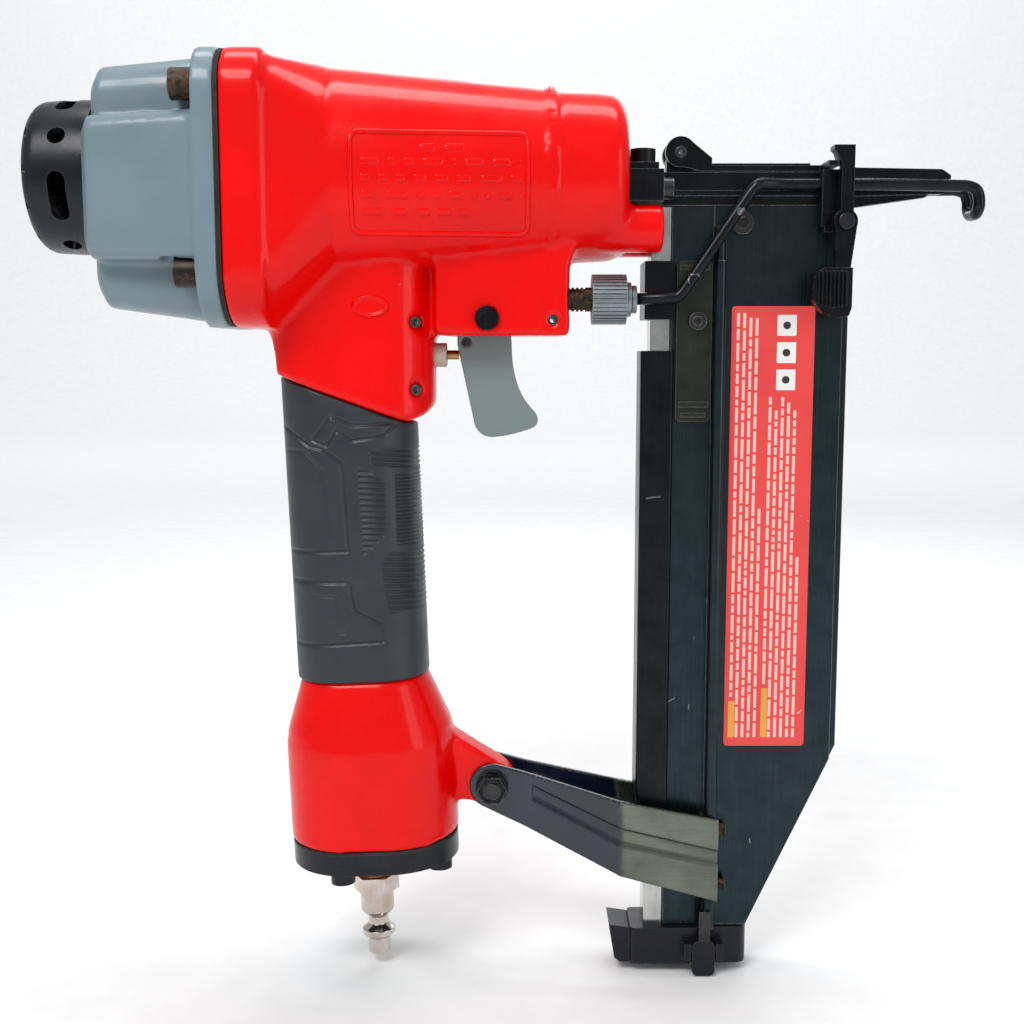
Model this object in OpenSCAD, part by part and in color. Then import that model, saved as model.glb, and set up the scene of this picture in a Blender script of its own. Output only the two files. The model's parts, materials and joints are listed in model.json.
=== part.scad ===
// Pneumatic nailer with a straight magazine, a rear exhaust, a bent-wire nose contact and a
// latched nose door. The origin is the nail exit, +X is the drive direction, +Z is up, and the
// side with the label faces -Y. All sizes are millimetres.

/* [Drive line] */
// Longest nail that the magazine takes
nail_len = 64; // [50:1:64]
// Distance from the nail exit back to the front face of the magazine
magazine_setback = 34; // [32:1:44]
// Bore of the cylinder sleeve
bore_d = 44; // [40:1:46]
// Wall of the cylinder sleeve
sleeve_wall = 3; // [2:0.5:4]
// Length of the piston
piston_len = 11; // [9:1:16]
// Length of the rubber bumper that stops the piston
bumper_len = 14; // [10:1:18]
// Length of the cylinder cap
cap_len = 44.5; // [42:0.5:56]

/* [Casting] */
// Wall left outside the sleeve at the front of the barrel
barrel_wall = 2.6; // [2:0.2:5]
// How much the barrel's radius grows from front to back
barrel_taper = 8.6; // [6:0.2:11]
// Thickness of the square flange at the back of the barrel
flange_len = 13; // [12:1:18]
// Half width of the flange
flange_half_y = 39.5; // [38:0.5:46]
// Height of the flange above the drive line
flange_top = 37.5; // [37:0.5:44]
// Depth of the flange below the drive line
flange_drop = 50.5; // [48:0.5:58]
// Width of the trigger housing under the barrel
housing_w = 35; // [34:1:42]
// Depth of the trigger housing below the drive line
housing_drop = 53; // [52:1:60]

/* [Handle] */
// Length of the rubber grip along the handle's middle
grip_len = 101; // [90:1:125]
// Width of the grip, front to back
grip_w = 46; // [42:1:52]
// Thickness of the grip, side to side
grip_t = 37; // [34:1:44]
// Wall of the rubber sleeve
grip_wall = 3; // [2:0.5:4]
// Width of the handle's enlarged lower end
base_w = 59.5; // [56:0.5:70]
// Thickness of the handle's enlarged lower end
base_t = 49; // [46:1:60]
// Length of the handle's enlarged lower end
base_len = 58; // [50:1:70]
// Angle by which the handle leans towards the magazine
handle_lean = 2.2; // [0:0.1:3]

/* [Magazine] */
// Bottom of the magazine channel, below the drive line
magazine_depth = 262; // [240:1:300]
// Thickness of the labelled part of the channel
channel_t = 14; // [14:0.5:20]
// Thickness across the channel's bead
bead_t = 23; // [22:0.5:28]
// Width of the moving rail, side to side
rail_t = 11; // [9:0.5:12]

/* [Nose] */
// Thickness of the nose body, side to side
nose_t = 12; // [10:0.5:13]
// Diameter of the contact wire
wire_d = 4; // [3:0.25:4.5]
// How far the contact wire stands out past the nail exit
wire_reach = 11; // [8:0.5:14]
// Travel of the contact wire
contact_travel = 7; // [4:0.5:7]
// Diameter of the knurled depth knob
knob_d = 16.6; // [14:0.2:20]

/* [Fits] */
// Gap between pieces that move past each other
run_gap = 0.3; // [0.2:0.05:0.4]
// Radial gap of a shaft in its bearing
pin_gap = 0.05; // [0.02:0.01:0.1]
// Radial gap round a fastener
screw_gap = 0.1; // [0.05:0.05:0.2]

/* [Hidden] */
$fn = 64;
eps = 0.01;

// Nail and driver stations along the drive line, counted forward from the back
channel_front_wall = 1.8;
x_mag_front = -magazine_setback;
x_points = x_mag_front - channel_front_wall;
x_heads = x_points - nail_len;
x_tip_rest = x_heads - 1.2;
x_tip_end = -3;
stroke = x_tip_end - x_tip_rest;
x_front = x_heads - 10;
front_wall = 4;
x_bumper = x_front - front_wall - bumper_len;
x_piston = x_bumper - 0.5 - stroke;
x_flange = x_piston - piston_len - 1.7;
gasket_t = 1.5;
x_cap = x_flange - gasket_t;
x_cap_end = x_cap - cap_len;

// Cylinder radii
bore_r = bore_d / 2;
sleeve_r = bore_r + sleeve_wall;
barrel_r = sleeve_r + barrel_wall;
barrel_r_back = barrel_r + barrel_taper;
piston_r = bore_r - pin_gap;
valve_r = sleeve_r + 1.8;
valve_len = 17;
valve_travel = 5;

// Flange and cap screws
flange_corner = 15;
cap_flange_len = 7;
screw_y = flange_half_y - 8;
screw_z_top = flange_top - 12.5;
screw_z_low = 17.5 - flange_drop;
cap_screw_r = 3;

// Blade and nail track
blade_w = 3;
blade_t = 1.5;
track_gap = 0.2;
nail_slot = 2;
head_slot = blade_w + 2 * track_gap;
track_half = blade_t / 2 + track_gap;
nose_top = 1.4;
nose_bottom = -9.5;
x_nose_body_end = x_mag_front - 3;
base_block_len = 11.8;
x_base_block = x_front + base_block_len;

// Trigger housing, measured from the barrel's front face
x_housing = x_front - 19;
x_housing_back = x_front - 62.7;
housing_half = housing_w / 2;
x_trigger = x_front - 46.5;
z_trigger = -housing_drop + 5.8;
trigger_t = 12.4;
trigger_slot = trigger_t / 2 + run_gap;
trigger_pin_r = 2.5;
z_valve = -housing_drop - 6.4;
x_valve_face = x_trigger - 14.1;
stem_r = 1.6;
x_stem_tip = x_trigger - 9.95;
valve_body_r = 4.1;

// Handle frame: its middle line starts at the top of the grip and leans by handle_lean
x_handle = x_front - 94.2;
z_handle = -housing_drop - 17;
base_bottom = -grip_len - base_len;
base_shift = 1;
core_w = grip_w - 2 * grip_wall;
core_t = grip_t - 2 * grip_wall;
passage_r = 10.5;

// End cap and plug, measured down the handle
cap_gasket_t = 0.8;
end_plate_t = 7.4;
hub_len = 6.6;
z_end_cap = base_bottom - cap_gasket_t;
z_hub = z_end_cap - end_plate_t - hub_len;
seal_t = 1.6;
plug_thread_r = 5;

// Handle lug and arms
x_lug = x_front - 45.2;
lug_below_grip = 39.6;
z_lug = z_handle - grip_len - lug_below_grip;
lug_half = 6;
lug_bolt_r = 3;
arm_t = 2;
arm_gap = 0.2;

// Magazine section stations
x_heads_wall = x_heads - 1.2;
x_channel_back = x_heads + 5.8;
x_bead = x_channel_back + 14;
bead_w = 4;
z_mag = -magazine_depth;
rail_half = rail_t / 2;
panel_half = rail_half + run_gap;
channel_half = channel_t / 2;
bead_half = bead_t / 2;
cover_wall = 1.8;
x_cover_back = x_heads_wall - run_gap - 3;
spring_bore_r = 3.2;
x_spring = x_points - 32;
cap_half = bead_half - 2.5;

// Arms at the bead: their lower corners stand above the bottom of the magazine, and their
// screws fill the space between the labelled part and the arm
arm_end_rise = 11;
arm_drop = z_lug - z_mag - arm_end_rise;
z_arm_bend = z_lug - 0.6 * arm_drop;
x_arm_bend = x_lug + 45;
arm_screw_r = (bead_half - channel_half) / 3;
arm_screw_head_r = 1.4 * arm_screw_r;
arm_screw_y = channel_half + 0.1 + arm_screw_head_r;

// Contact wire
wire_r = wire_d / 2;
wire_y = max(panel_half + cover_wall + 0.9 + wire_r + 1.5, channel_half + 4.7);
guide_y = nose_t / 2 + wire_r + 1.5;
loop_y = 5.6;
z_wire_low = -housing_drop + 12;
z_wire_high = -3;
stud_r = 4;
x_knob = x_housing + contact_travel + 0.4;
knob_len = 11.4;
loop_drop = 11;
z_bead_step = z_wire_low + 13;
bead_top_half = min(wire_y - wire_r - 0.6, bead_half);

// Nose door, its hinge and its latch
x_hinge = x_heads + 8.3;
z_hinge = 8.1;
hinge_r = 5.1;
hinge_pin_r = 1.7;
door_bottom = nose_top + run_gap;
door_top = door_bottom + 2;
door_half = nose_t / 2 - 0.2;
x_door_end = x_mag_front - 7.2;
wedge = 0.38;
x_guide = x_mag_front - 11.5;
guide_len = 5.5;
guide_half = guide_y + wire_r + 1.6;
latch_gap = 0.5;
latch_y0 = -guide_half - latch_gap - 6;
latch_y1 = -guide_half - latch_gap;
x_latch = x_mag_front - 5;
z_latch = -16;
latch_pin_r = 1.5;

// ---- Helpers ----

// A block between two corners
module block(x0, x1, y0, y1, z0, z1)
    translate([x0, y0, z0]) cube([x1 - x0, y1 - y0, z1 - z0]);

// Round bars along X, Y and Z
module rod_x(x0, x1, y, z, r)
    translate([x0, y, z]) rotate([0, 90, 0]) cylinder(h = x1 - x0, r = r);
module rod_y(y0, y1, x, z, r)
    translate([x, y1, z]) rotate([90, 0, 0]) cylinder(h = y1 - y0, r = r);
module rod_z(z0, z1, x, y, r)
    translate([x, y, z0]) cylinder(h = z1 - z0, r = r);

// A flat outline drawn in X and Z, made thick from y0 to y1
module side(y0, y1)
    translate([0, y1, 0]) rotate([90, 0, 0]) linear_extrude(y1 - y0) children();

// A flat outline drawn in Y and Z, made thick from x0 to x1
module across(x0, x1)
    translate([x0, 0, 0]) rotate([90, 0, 90]) linear_extrude(x1 - x0) children();

// A profile of [x, radius] points turned round the drive line
module turned_x(points)
    rotate([0, 90, 0]) rotate_extrude($fn = 96)
        polygon([for (p = points) [p[1], p[0]]]);

// Rectangle with round corners of true arcs
module round_rect(x0, x1, y0, y1, r) {
    translate([x0 + r, y0]) square([x1 - x0 - 2 * r, y1 - y0]);
    translate([x0, y0 + r]) square([x1 - x0, y1 - y0 - 2 * r]);
    for (x = [x0 + r, x1 - r], y = [y0 + r, y1 - r]) translate([x, y]) circle(r);
}

// Points of a curve from a to c that is pulled towards b
function curve(a, b, c, n = 8) =
    [for (i = [0 : n]) let (t = i / n) (1 - t) * (1 - t) * a + 2 * t * (1 - t) * b + t * t * c];

// Points of an arc round c
function arc(c, r, a0, a1, n = 6) =
    [for (i = [0 : n]) let (a = a0 + (a1 - a0) * i / n) c + r * [cos(a), sin(a)]];

// Coil spring along +Z: a round wire swept along a helix
module coil(r, wire, len, turns, sides = 6, per_turn = 12) {
    steps = turns * per_turn;
    rise = (len - wire) / steps;
    slope = atan(rise * per_turn / (2 * PI * r));
    ring = function (i) [
        for (k = [0 : sides - 1])
            let (a = i * 360 / per_turn, b = k * 360 / sides,
                 out = r + wire / 2 * cos(b), up = wire / 2 * sin(b))
            [out * cos(a) + up * sin(slope) * sin(a),
             out * sin(a) - up * sin(slope) * cos(a),
             wire / 2 + i * rise + up * cos(slope)]];
    points = [for (i = [0 : steps]) each ring(i)];
    walls = [for (i = [0 : steps - 1], k = [0 : sides - 1])
        let (a = i * sides + k, b = i * sides + (k + 1) % sides)
        each [[a, a + sides, b + sides], [a, b + sides, b]]];
    polyhedron(points, concat(
        [[for (k = [0 : sides - 1]) k]],
        walls,
        [[for (k = [sides - 1 : -1 : 0]) steps * sides + k]]), convexity = 10);
}

// Socket-head screw along -Z with its head's underside at z = 0
module socket_screw(r, head_r, head_h, len) {
    difference() {
        cylinder(h = head_h, r = head_r);
        translate([0, 0, head_h * 0.4]) cylinder(h = head_h, r = head_r * 0.55, $fn = 6);
    }
    translate([0, 0, -len]) cylinder(h = len + eps, r = r);
}

// Puts a piece in the handle's leaning frame, or a frame moved along it
module in_handle()
    translate([x_handle, 0, z_handle]) rotate([0, -handle_lean, 0]) children();

// Square flange outline, in Y and Z, shared by the barrel, the gasket and the cap
module flange_outline(inset = 0) {
    half = flange_half_y - inset;
    top = flange_top - inset;
    low = -flange_drop + inset;
    r = flange_corner - inset / 2;
    round_rect(-half, half, low + 12, top, r);
    low_r = r + 6;
    round_rect(-half, half, low, top - 20, low_r);
}

// Places a child at each of the four cap screws, facing +X
module at_cap_screws()
    for (y = [-screw_y, screw_y], z = [screw_z_low, screw_z_top])
        translate([0, y, z]) rotate([0, 90, 0]) children();

// ---- Casting ----

module barrel_skin() {
    bead_x = x_front - 25.5;
    corner = 6;
    taper_x = x_front - 100;
    across(x_flange, x_flange + flange_len) flange_outline();
    hull() {
        across(x_flange + flange_len - 1, x_flange + flange_len) flange_outline(2);
        rod_x(x_flange + flange_len + 20, x_flange + flange_len + 21, 0, 0,
              barrel_r_back - 0.6, $fn = 48);
    }
    turned_x(concat(
        [[x_flange + 2, 0], [x_flange + 2, barrel_r_back], [taper_x, barrel_r_back]],
        [[bead_x - 1.5, barrel_r + 1.6], [bead_x - 0.5, barrel_r + 2.4],
         [bead_x + 1, barrel_r + 2.4], [bead_x + 2, barrel_r + 1.4]],
        arc([x_front - corner, barrel_r - corner], corner, 90, 0),
        [[x_front, 0]]));
}

// Plan outline of the neck between the barrel and the grip
module neck_outline() round_rect(x_handle - 27, x_handle + 30, -19.5, 19.5, 17);

module neck_skin() {
    front = x_handle + 30;
    intersection() {
        translate([0, 0, -flange_drop - 60]) linear_extrude(flange_drop + 40) neck_outline();
        side(-20, 20) polygon(concat(
            [[x_flange + 3, -15], [x_flange + 4, -flange_drop + 2]],
            curve([x_flange + 6, -flange_drop + 0.5], [x_handle - 24, -flange_drop - 1],
                  [x_handle - 23.3, z_handle + 6]),
            [[x_handle - 23, z_handle + 4], [x_handle + 21, z_handle - 11.8],
             [front - 3.5, z_handle - 9.5], [front - 0.4, z_handle - 6], [front, -15]]));
    }
}

module housing_skin() {
    side(-housing_half, housing_half) polygon([
        [x_housing_back, -10], [x_housing_back, -housing_drop + 1],
        [x_housing_back + 1, -housing_drop], [x_housing - 1, -housing_drop],
        [x_housing, -housing_drop + 1], [x_housing, -30], [x_housing + 6, -10]]);
    side(-housing_half - 0.6, housing_half + 0.6)
        translate([x_housing_back - 1.2, -housing_drop + 0.6]) square([2, 26]);
}

// Two bosses under the nose that the magazine hangs between
module front_boss_skin() {
    for (s = [-1, 1]) rod_x(x_front - 22, x_front + 12, s * 10.5, -17.6, 8);
    hull() for (s = [-1, 1]) rod_x(x_front - 22, x_front, s * 10.5, -17.6, 8, $fn = 32);
}

// Plan outline of the handle's enlarged end, in the handle's frame
module base_outline(inset = 0)
    round_rect(-base_w / 2 + inset, base_w / 2 - inset, -base_t / 2 + inset,
               base_t / 2 - inset, base_t / 2 - inset - 1);

module core_outline() round_rect(-core_w / 2, core_w / 2, -core_t / 2, core_t / 2, core_t / 2 - 1);

module grip_outline() round_rect(-grip_w / 2, grip_w / 2, -grip_t / 2, grip_t / 2, grip_t / 2 - 1.5);

module handle_skin() in_handle() {
    shoulder = 25;
    translate([0, 0, -grip_len - 1]) linear_extrude(grip_len + 14) core_outline();
    translate([base_shift, 0, 0]) {
        hull() {
            translate([-base_shift, 0, -grip_len - 2]) linear_extrude(2)
                round_rect(-grip_w / 2 + 1, grip_w / 2 - 1, -grip_t / 2 + 1, grip_t / 2 - 1,
                           grip_t / 2 - 3);
            translate([0, 0, -grip_len - shoulder]) linear_extrude(6) base_outline(0.6);
        }
        translate([0, 0, base_bottom]) linear_extrude(base_len - shoulder + 3) base_outline();
    }
}

// Web and eye that the two arms bolt to
module lug_skin() side(-lug_half, lug_half) {
    translate([x_lug, z_lug]) circle(8.2);
    polygon([[x_lug - 20, z_lug + 20], [x_lug - 13, z_lug + 18], [x_lug + 5, z_lug + 6.4],
             [x_lug + 1, z_lug - 8], [x_lug - 12, z_lug - 5.5], [x_lug - 20, z_lug - 4]]);
}

module body_casting() color("red") difference() {
    union() {
        barrel_skin();
        neck_skin();
        housing_skin();
        front_boss_skin();
        handle_skin();
        lug_skin();
    }
    // Air space round the sleeve, and the sleeve's seat
    turned_x([[x_flange - 1, 0], [x_flange - 1, barrel_r_back - 4],
              [x_front - 58, barrel_r + 0.8], [x_front - 40, sleeve_r + 0.3],
              [x_front - 30, sleeve_r + 0.05], [x_front - front_wall, sleeve_r + 0.05],
              [x_front - front_wall, 2.6], [x_front + 1, 2.6], [x_front + 1, 0]]);
    // Air passage down the handle, and the filter space at its end
    in_handle() {
        translate([-1, 0, base_bottom - 1]) cylinder(h = grip_len + base_len + 42, r = passage_r);
        difference() {
            translate([base_shift, 0, base_bottom - 1]) linear_extrude(base_len - 26) base_outline(5);
            translate([0, 0, -2]) at_end_screws() cylinder(h = 40, r = 4.4);
        }
    }
    // Trigger slot, its pivot, and the valve bore behind it
    block(x_trigger - 14.5, x_trigger + 12, -trigger_slot, trigger_slot,
          -housing_drop - 1, -housing_drop + 13.5);
    rod_y(-30, 30, x_trigger, z_trigger, trigger_pin_r + screw_gap);
    rod_x(x_valve_face - 30, x_front, 0, z_valve, 4.2);
    rod_x(x_handle - 6, x_valve_face - 6, 0, z_valve, 7.6);
    // Guide hole of the depth stud
    rod_x(x_housing - 23, x_housing + 10, -wire_y, z_wire_low, stud_r + run_gap);
    // Roll pins
    at_roll_pins() cylinder(h = 60, r = 1.8, center = true);
    // Slot between the front bosses for the magazine
    block(x_front, x_front + 20, -rail_half - 1, rail_half + 1, -40, nose_bottom + 1);
    // Screw holes
    translate([x_flange - 1, 0, 0]) at_cap_screws()
        cylinder(h = flange_len, r = cap_screw_r + screw_gap);
    rod_y(-30, 30, x_lug, z_lug, lug_bolt_r + screw_gap);
    in_handle() at_end_screws() translate([0, 0, -1]) cylinder(h = 14, r = 1.9 + screw_gap);
    for (y = [-11, 11]) rod_x(x_front - 3.5, x_front + 1, y, -4.6, 2 + screw_gap);
}

// Cross pins through the casting: two hold the valve body, one stops the depth stud
module at_roll_pins()
    for (p = [[x_handle + 24, -housing_drop + 4.4], [x_handle + 24, z_handle - 1],
              [x_housing - 5.6, -housing_drop + 5.2]])
        translate([p[0], 0, p[1]]) rotate([90, 0, 0]) children();

module roll_pins() color("dimgray") difference() {
    at_roll_pins() cylinder(h = 34, r = 1.75, center = true);
    at_roll_pins() cylinder(h = 40, r = 1, center = true);
}

module rubber_grip() color("darkslategray") difference() {
    in_handle() translate([0, 0, -grip_len]) linear_extrude(grip_len + 10) grip_outline();
    in_handle() translate([0, 0, -grip_len - 1]) linear_extrude(grip_len + 20) core_outline();
    // The top edge slopes down towards the trigger, just clear of the neck
    side(-40, 40) polygon([
        [x_handle - 40, z_handle + 4 + 17 * 0.359 - run_gap],
        [x_handle + 21, z_handle - 11.8 - run_gap],
        [x_handle + 26, z_handle - 12.2 - run_gap],
        [x_handle + 60, z_handle - 12.2 - run_gap], [x_handle + 60, z_handle + 60],
        [x_handle - 40, z_handle + 60]]);
}

// ---- Cylinder ----

module cylinder_cap() color("lightslategray") difference() {
    pad_low = 20.5 - flange_drop;
    pad_top = flange_top - 20.5;
    union() {
        across(x_cap - cap_flange_len, x_cap) flange_outline();
        // Narrow crown that clears the screws
        hull() {
            across(x_cap - cap_flange_len - 1, x_cap - cap_flange_len)
                round_rect(-26, 26, -flange_drop + 2, flange_top - 1, 12);
            across(x_cap_end + 4, x_cap_end + 5)
                round_rect(-24, 24, -flange_drop + 6.5, flange_top - 4, 10);
            across(x_cap_end + 1, x_cap_end + 2)
                round_rect(-20, 20, -flange_drop + 11, flange_top - 8, 8);
        }
        // Wide pad across the middle
        hull() {
            across(x_cap - cap_flange_len - 1, x_cap - cap_flange_len)
                round_rect(-flange_half_y + 1, flange_half_y - 1, pad_low, pad_top, 5);
            across(x_cap_end + 3, x_cap_end + 4)
                round_rect(-flange_half_y + 6, flange_half_y - 6, pad_low + 1, pad_top - 1, 5);
            across(x_cap_end, x_cap_end + 1)
                round_rect(-flange_half_y + 11, flange_half_y - 11, pad_low + 4, pad_top - 4, 5);
        }
    }
    // Bore of the head valve, spring post clearance and exhaust port
    rod_x(x_cap - valve_len - valve_travel - 4, x_cap + 1, 0, 0, valve_r + pin_gap);
    difference() {
        rod_x(x_cap_end - 1, x_cap, 0, 0, 9);
        // Bar across the port that the deflector's screw bites into
        block(x_cap_end, x_cap_end + 9, -3.6, 3.6, -10, 10);
    }
    rod_x(x_cap_end - 1, x_cap_end + 10, 0, 0, 2.5 + screw_gap);
    rod_x(x_cap - cap_len + 12, x_cap, 0, 0, 17);
    translate([x_cap - 60, 0, 0]) at_cap_screws() cylinder(h = 80, r = cap_screw_r + screw_gap);
    translate([x_cap - cap_flange_len - 12, 0, 0]) at_cap_screws() cylinder(h = 12, r = 5.6);
}

module cap_gasket() color("black") difference() {
    across(x_flange - gasket_t, x_flange) flange_outline(0.4);
    rod_x(x_flange - 5, x_flange + 5, 0, 0, valve_r + 1);
    translate([x_flange - 6, 0, 0]) at_cap_screws() cylinder(h = 12, r = cap_screw_r + screw_gap);
}

module cap_screws() color("saddlebrown")
    translate([x_cap - cap_flange_len, 0, 0]) at_cap_screws()
        rotate([180, 0, 0]) socket_screw(cap_screw_r, 5, 7.5, 18);

module exhaust_deflector() color("black") {
    out_r = 25.5;
    face = x_cap_end - 22;
    difference() {
        turned_x(concat([[face, 0]], arc([face + 5, out_r - 5.5], 5, 180, 90),
            [[face + 13, out_r], [x_cap_end - run_gap, out_r],
             [x_cap_end - run_gap, out_r - 2.5], [face + 5, out_r - 3.5],
             [face + 2.5, out_r - 6], [face + 2.5, 6], [x_cap_end - run_gap, 6],
             [x_cap_end - run_gap, 0]]));
        rod_x(face - 1, x_cap_end + 1, 0, 0, 2.6);
        rod_x(face - 1, face + 1.4, 0, 0, 5);
        // Exhaust windows round the rim: long slots with a round hole between them
        for (i = [0 : 3]) rotate([90 * i + 20, 0, 0]) {
            translate([0, 0, 15]) linear_extrude(25)
                round_rect(face + 9.5, face + 15.5, -8, 8, 2.9);
            rotate([45, 0, 0]) rod_z(15, 40, face + 12.5, 0, 3);
        }
        // Finger notches on the face's edge
        for (i = [0 : 11]) rotate([30 * i, 0, 0])
            rod_x(face - 1, face + 2.4, 0, out_r - 2, 1.6);
    }
}

module deflector_screw() color("dimgray")
    translate([x_cap_end - 20.6 - run_gap, 0, 0]) rotate([0, 90, 0]) rotate([180, 0, 0])
        socket_screw(2.5, 4.4, 2.6, 26);

module cylinder_sleeve() color("silver") difference() {
    union() {
        rod_x(x_flange - 0.5, x_front - front_wall, 0, 0, sleeve_r);
        rod_x(x_flange + 2, x_flange + 6, 0, 0, sleeve_r + 1.2);
    }
    rod_x(x_flange - 5, x_front, 0, 0, bore_r);
    // Return-air ports near the end of the stroke
    for (i = [0 : 5]) rotate([60 * i, 0, 0]) rod_z(0, 40, x_bumper - 16, 0, 1.6);
    // Groove for the sealing ring
    difference() {
        rod_x(x_front - 26, x_front - 23, 0, 0, sleeve_r + 1);
        rod_x(x_front - 27, x_front - 22, 0, 0, sleeve_r - 1.2);
    }
}

module ring(x, r, wire) translate([x, 0, 0]) rotate([0, 90, 0])
    rotate_extrude($fn = 64) translate([r, 0]) circle(wire / 2, $fn = 24);

module sleeve_rings() color("black") {
    ring(x_front - 24.5, sleeve_r - 0.58, 1.2);
    difference() {
        rod_x(x_flange + 2, x_flange + 6, 0, 0, sleeve_r + 2.8);
        rod_x(x_flange, x_flange + 9, 0, 0, sleeve_r + 1.2 + eps);
    }
}

module piston() color("darkgray") difference() {
    turned_x([[x_piston - piston_len, 0], [x_piston - piston_len, piston_r],
              [x_piston, piston_r], [x_piston, 9], [x_piston + 2, 7], [x_piston + 2, 0]]);
    difference() {
        rod_x(x_piston - piston_len / 2 - 1.5, x_piston - piston_len / 2 + 1.5, 0, 0, bore_r + 1);
        rod_x(x_piston - piston_len, x_piston, 0, 0, piston_r - 2.4);
    }
    rod_x(x_piston - piston_len - 1, x_piston - piston_len + 4, 0, 0, 13);
    block(x_piston - piston_len + 6, x_piston + 3, -blade_w / 2, blade_w / 2,
          -blade_t / 2, blade_t / 2);
}

module piston_ring() color("black") ring(x_piston - piston_len / 2, piston_r - 1.22, 2.2);

module driver_blade() color("gainsboro")
    block(x_piston - piston_len + 6, x_tip_rest, -blade_w / 2, blade_w / 2,
          -blade_t / 2, blade_t / 2);

module bumper() color("darkgoldenrod") difference() {
    turned_x([[x_bumper, 0], [x_bumper, bore_r - 3], [x_bumper + 3, bore_r - 0.4],
              [x_bumper + bumper_len - 0.1, bore_r - 0.4], [x_bumper + bumper_len - 0.1, 0]]);
    rod_x(x_bumper - 1, x_bumper + bumper_len + 1, 0, 0, 3.4);
    rod_x(x_bumper - 1, x_bumper + 3, 0, 0, 10);
}

module head_valve() color("gray") difference() {
    front = x_cap + 0.7;
    turned_x([[front - valve_len, 0], [front - valve_len, valve_r], [front, valve_r],
              [front, bore_r + 1], [front - 6, bore_r - 2], [front - 6, 0]]);
    rod_x(front - valve_len - 1, front + 1, 0, 0, 6);
    difference() {
        rod_x(front - valve_len - 1, front - 8, 0, 0, 16);
        rod_x(front - valve_len - 2, front - 7, 0, 0, 11);
    }
}

module head_valve_spring() color("silver")
    translate([x_cap - cap_len + 12.3, 0, 0]) rotate([0, 90, 0])
        coil(13.4, 1.8, cap_len - 12.3 + 0.7 - 8 - 0.3, 5);

// ---- Trigger and trigger valve ----

module trigger_valve_body() color("ivory") difference() {
    union() {
        rod_x(x_valve_face - 22, x_valve_face, 0, z_valve, valve_body_r);
        rod_x(x_valve_face - 18, x_valve_face - 14, 0, z_valve, 7.4);
    }
    rod_x(x_valve_face - 23, x_valve_face + 1, 0, z_valve, stem_r + pin_gap);
    rod_x(x_valve_face - 23, x_valve_face - 3, 0, z_valve, 3);
}

module valve_stem() color("peru") {
    rod_x(x_valve_face - 21, x_stem_tip, 0, z_valve, stem_r);
    rod_x(x_valve_face - 4.6, x_valve_face - 3.2, 0, z_valve, 2.7);
}

module valve_spring() color("silver")
    translate([x_valve_face - 21.8, 0, z_valve]) rotate([0, 90, 0])
        coil(2.3, 0.6, 16.9, 8);

function trigger_outline() = let (x = x_trigger, z = z_trigger) concat(
    [[x + 8, z + 2], [x + 8, z - 5.7]],
    curve([x + 8.2, z - 8], [x + 8.2, z - 21], [x + 13, z - 28]),
    curve([x + 13.4, z - 28.6], [x + 15.5, z - 31], [x + 16.8, z - 32.6], 3),
    arc([x + 14.2, z - 34.3], 3, 30, -70),
    curve([x + 15, z - 37.2], [x + 8, z - 39.8], [x + 2, z - 40.2], 4),
    curve([x + 1, z - 40.2], [x - 2.6, z - 40], [x - 4.4, z - 36.4], 4),
    [[x - 10.3, z - 8.8], [x - 10.3, z - 4.4], [x - 7, z + 1.5]],
    arc([x, z], 5.2, 160, 20));

module trigger() color("slategray") difference() {
    side(-trigger_t / 2, trigger_t / 2) polygon(trigger_outline());
    rod_y(-20, 20, x_trigger, z_trigger, trigger_pin_r + pin_gap);
    rod_y(-20, 20, x_trigger - 7.2, z_trigger - 7.9, 1.5 + screw_gap);
    // Pocket for the inner lever, open at the back and the top
    block(x_trigger - 20, x_trigger - 2.8, -2.6, 2.6, z_trigger - 17, z_trigger + 10);
}

module trigger_pivot_screw() color("black")
    translate([x_trigger, -housing_half - eps, z_trigger]) rotate([90, 0, 0])
        socket_screw(trigger_pin_r, 4, 1.6, housing_w + 1);

module trigger_lever() color("silver") difference() {
    x = x_trigger - 7.2;
    z = z_trigger - 7.9;
    side(-2.1, 2.1) {
        translate([x, z]) circle(2.7);
        polygon([[x - 1.8, z - 1], [x - 2.2, z - 6.5], [x - 0.6, z - 7.5], [x + 2.6, z - 1]]);
    }
    rod_y(-5, 5, x, z, 1.5 + pin_gap);
}

module trigger_lever_pin() color("dimgray")
    rod_y(-trigger_t / 2, trigger_t / 2, x_trigger - 7.2, z_trigger - 7.9, 1.5);

// ---- Nose contact and depth adjuster ----

module depth_stud() color("sienna") difference() {
    rod_x(x_housing - 14, x_knob + knob_len + 1.4, -wire_y, z_wire_low, stud_r);
    // Thread roots between the housing and the knob
    for (i = [0 : 5]) translate([x_housing - 3 + 1.5 * i, -wire_y, z_wire_low]) rotate([0, 90, 0])
        difference() {
            cylinder(h = 0.7, r = stud_r + 1);
            translate([0, 0, -1]) cylinder(h = 3, r = stud_r - 0.5);
        }
    rod_x(x_knob + knob_len - 3, x_knob + 30, -wire_y, z_wire_low, wire_r + pin_gap);
}

module depth_knob() color("slategray") difference() {
    flutes = 36;
    union() {
        rod_x(x_knob, x_knob + knob_len, -wire_y, z_wire_low, knob_d / 2);
        rod_x(x_knob + knob_len - eps, x_knob + knob_len + 1.6, -wire_y, z_wire_low, knob_d / 2 - 2.6);
    }
    rod_x(x_knob - 1, x_knob + knob_len + 3, -wire_y, z_wire_low, stud_r + pin_gap);
    for (i = [0 : flutes - 1]) translate([x_knob - 1, -wire_y, z_wire_low])
        rotate([i * 360 / flutes, 0, 0])
            translate([0, -0.35, knob_d / 2 - 0.55]) cube([knob_len + 2, 0.7, 2]);
}

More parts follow.
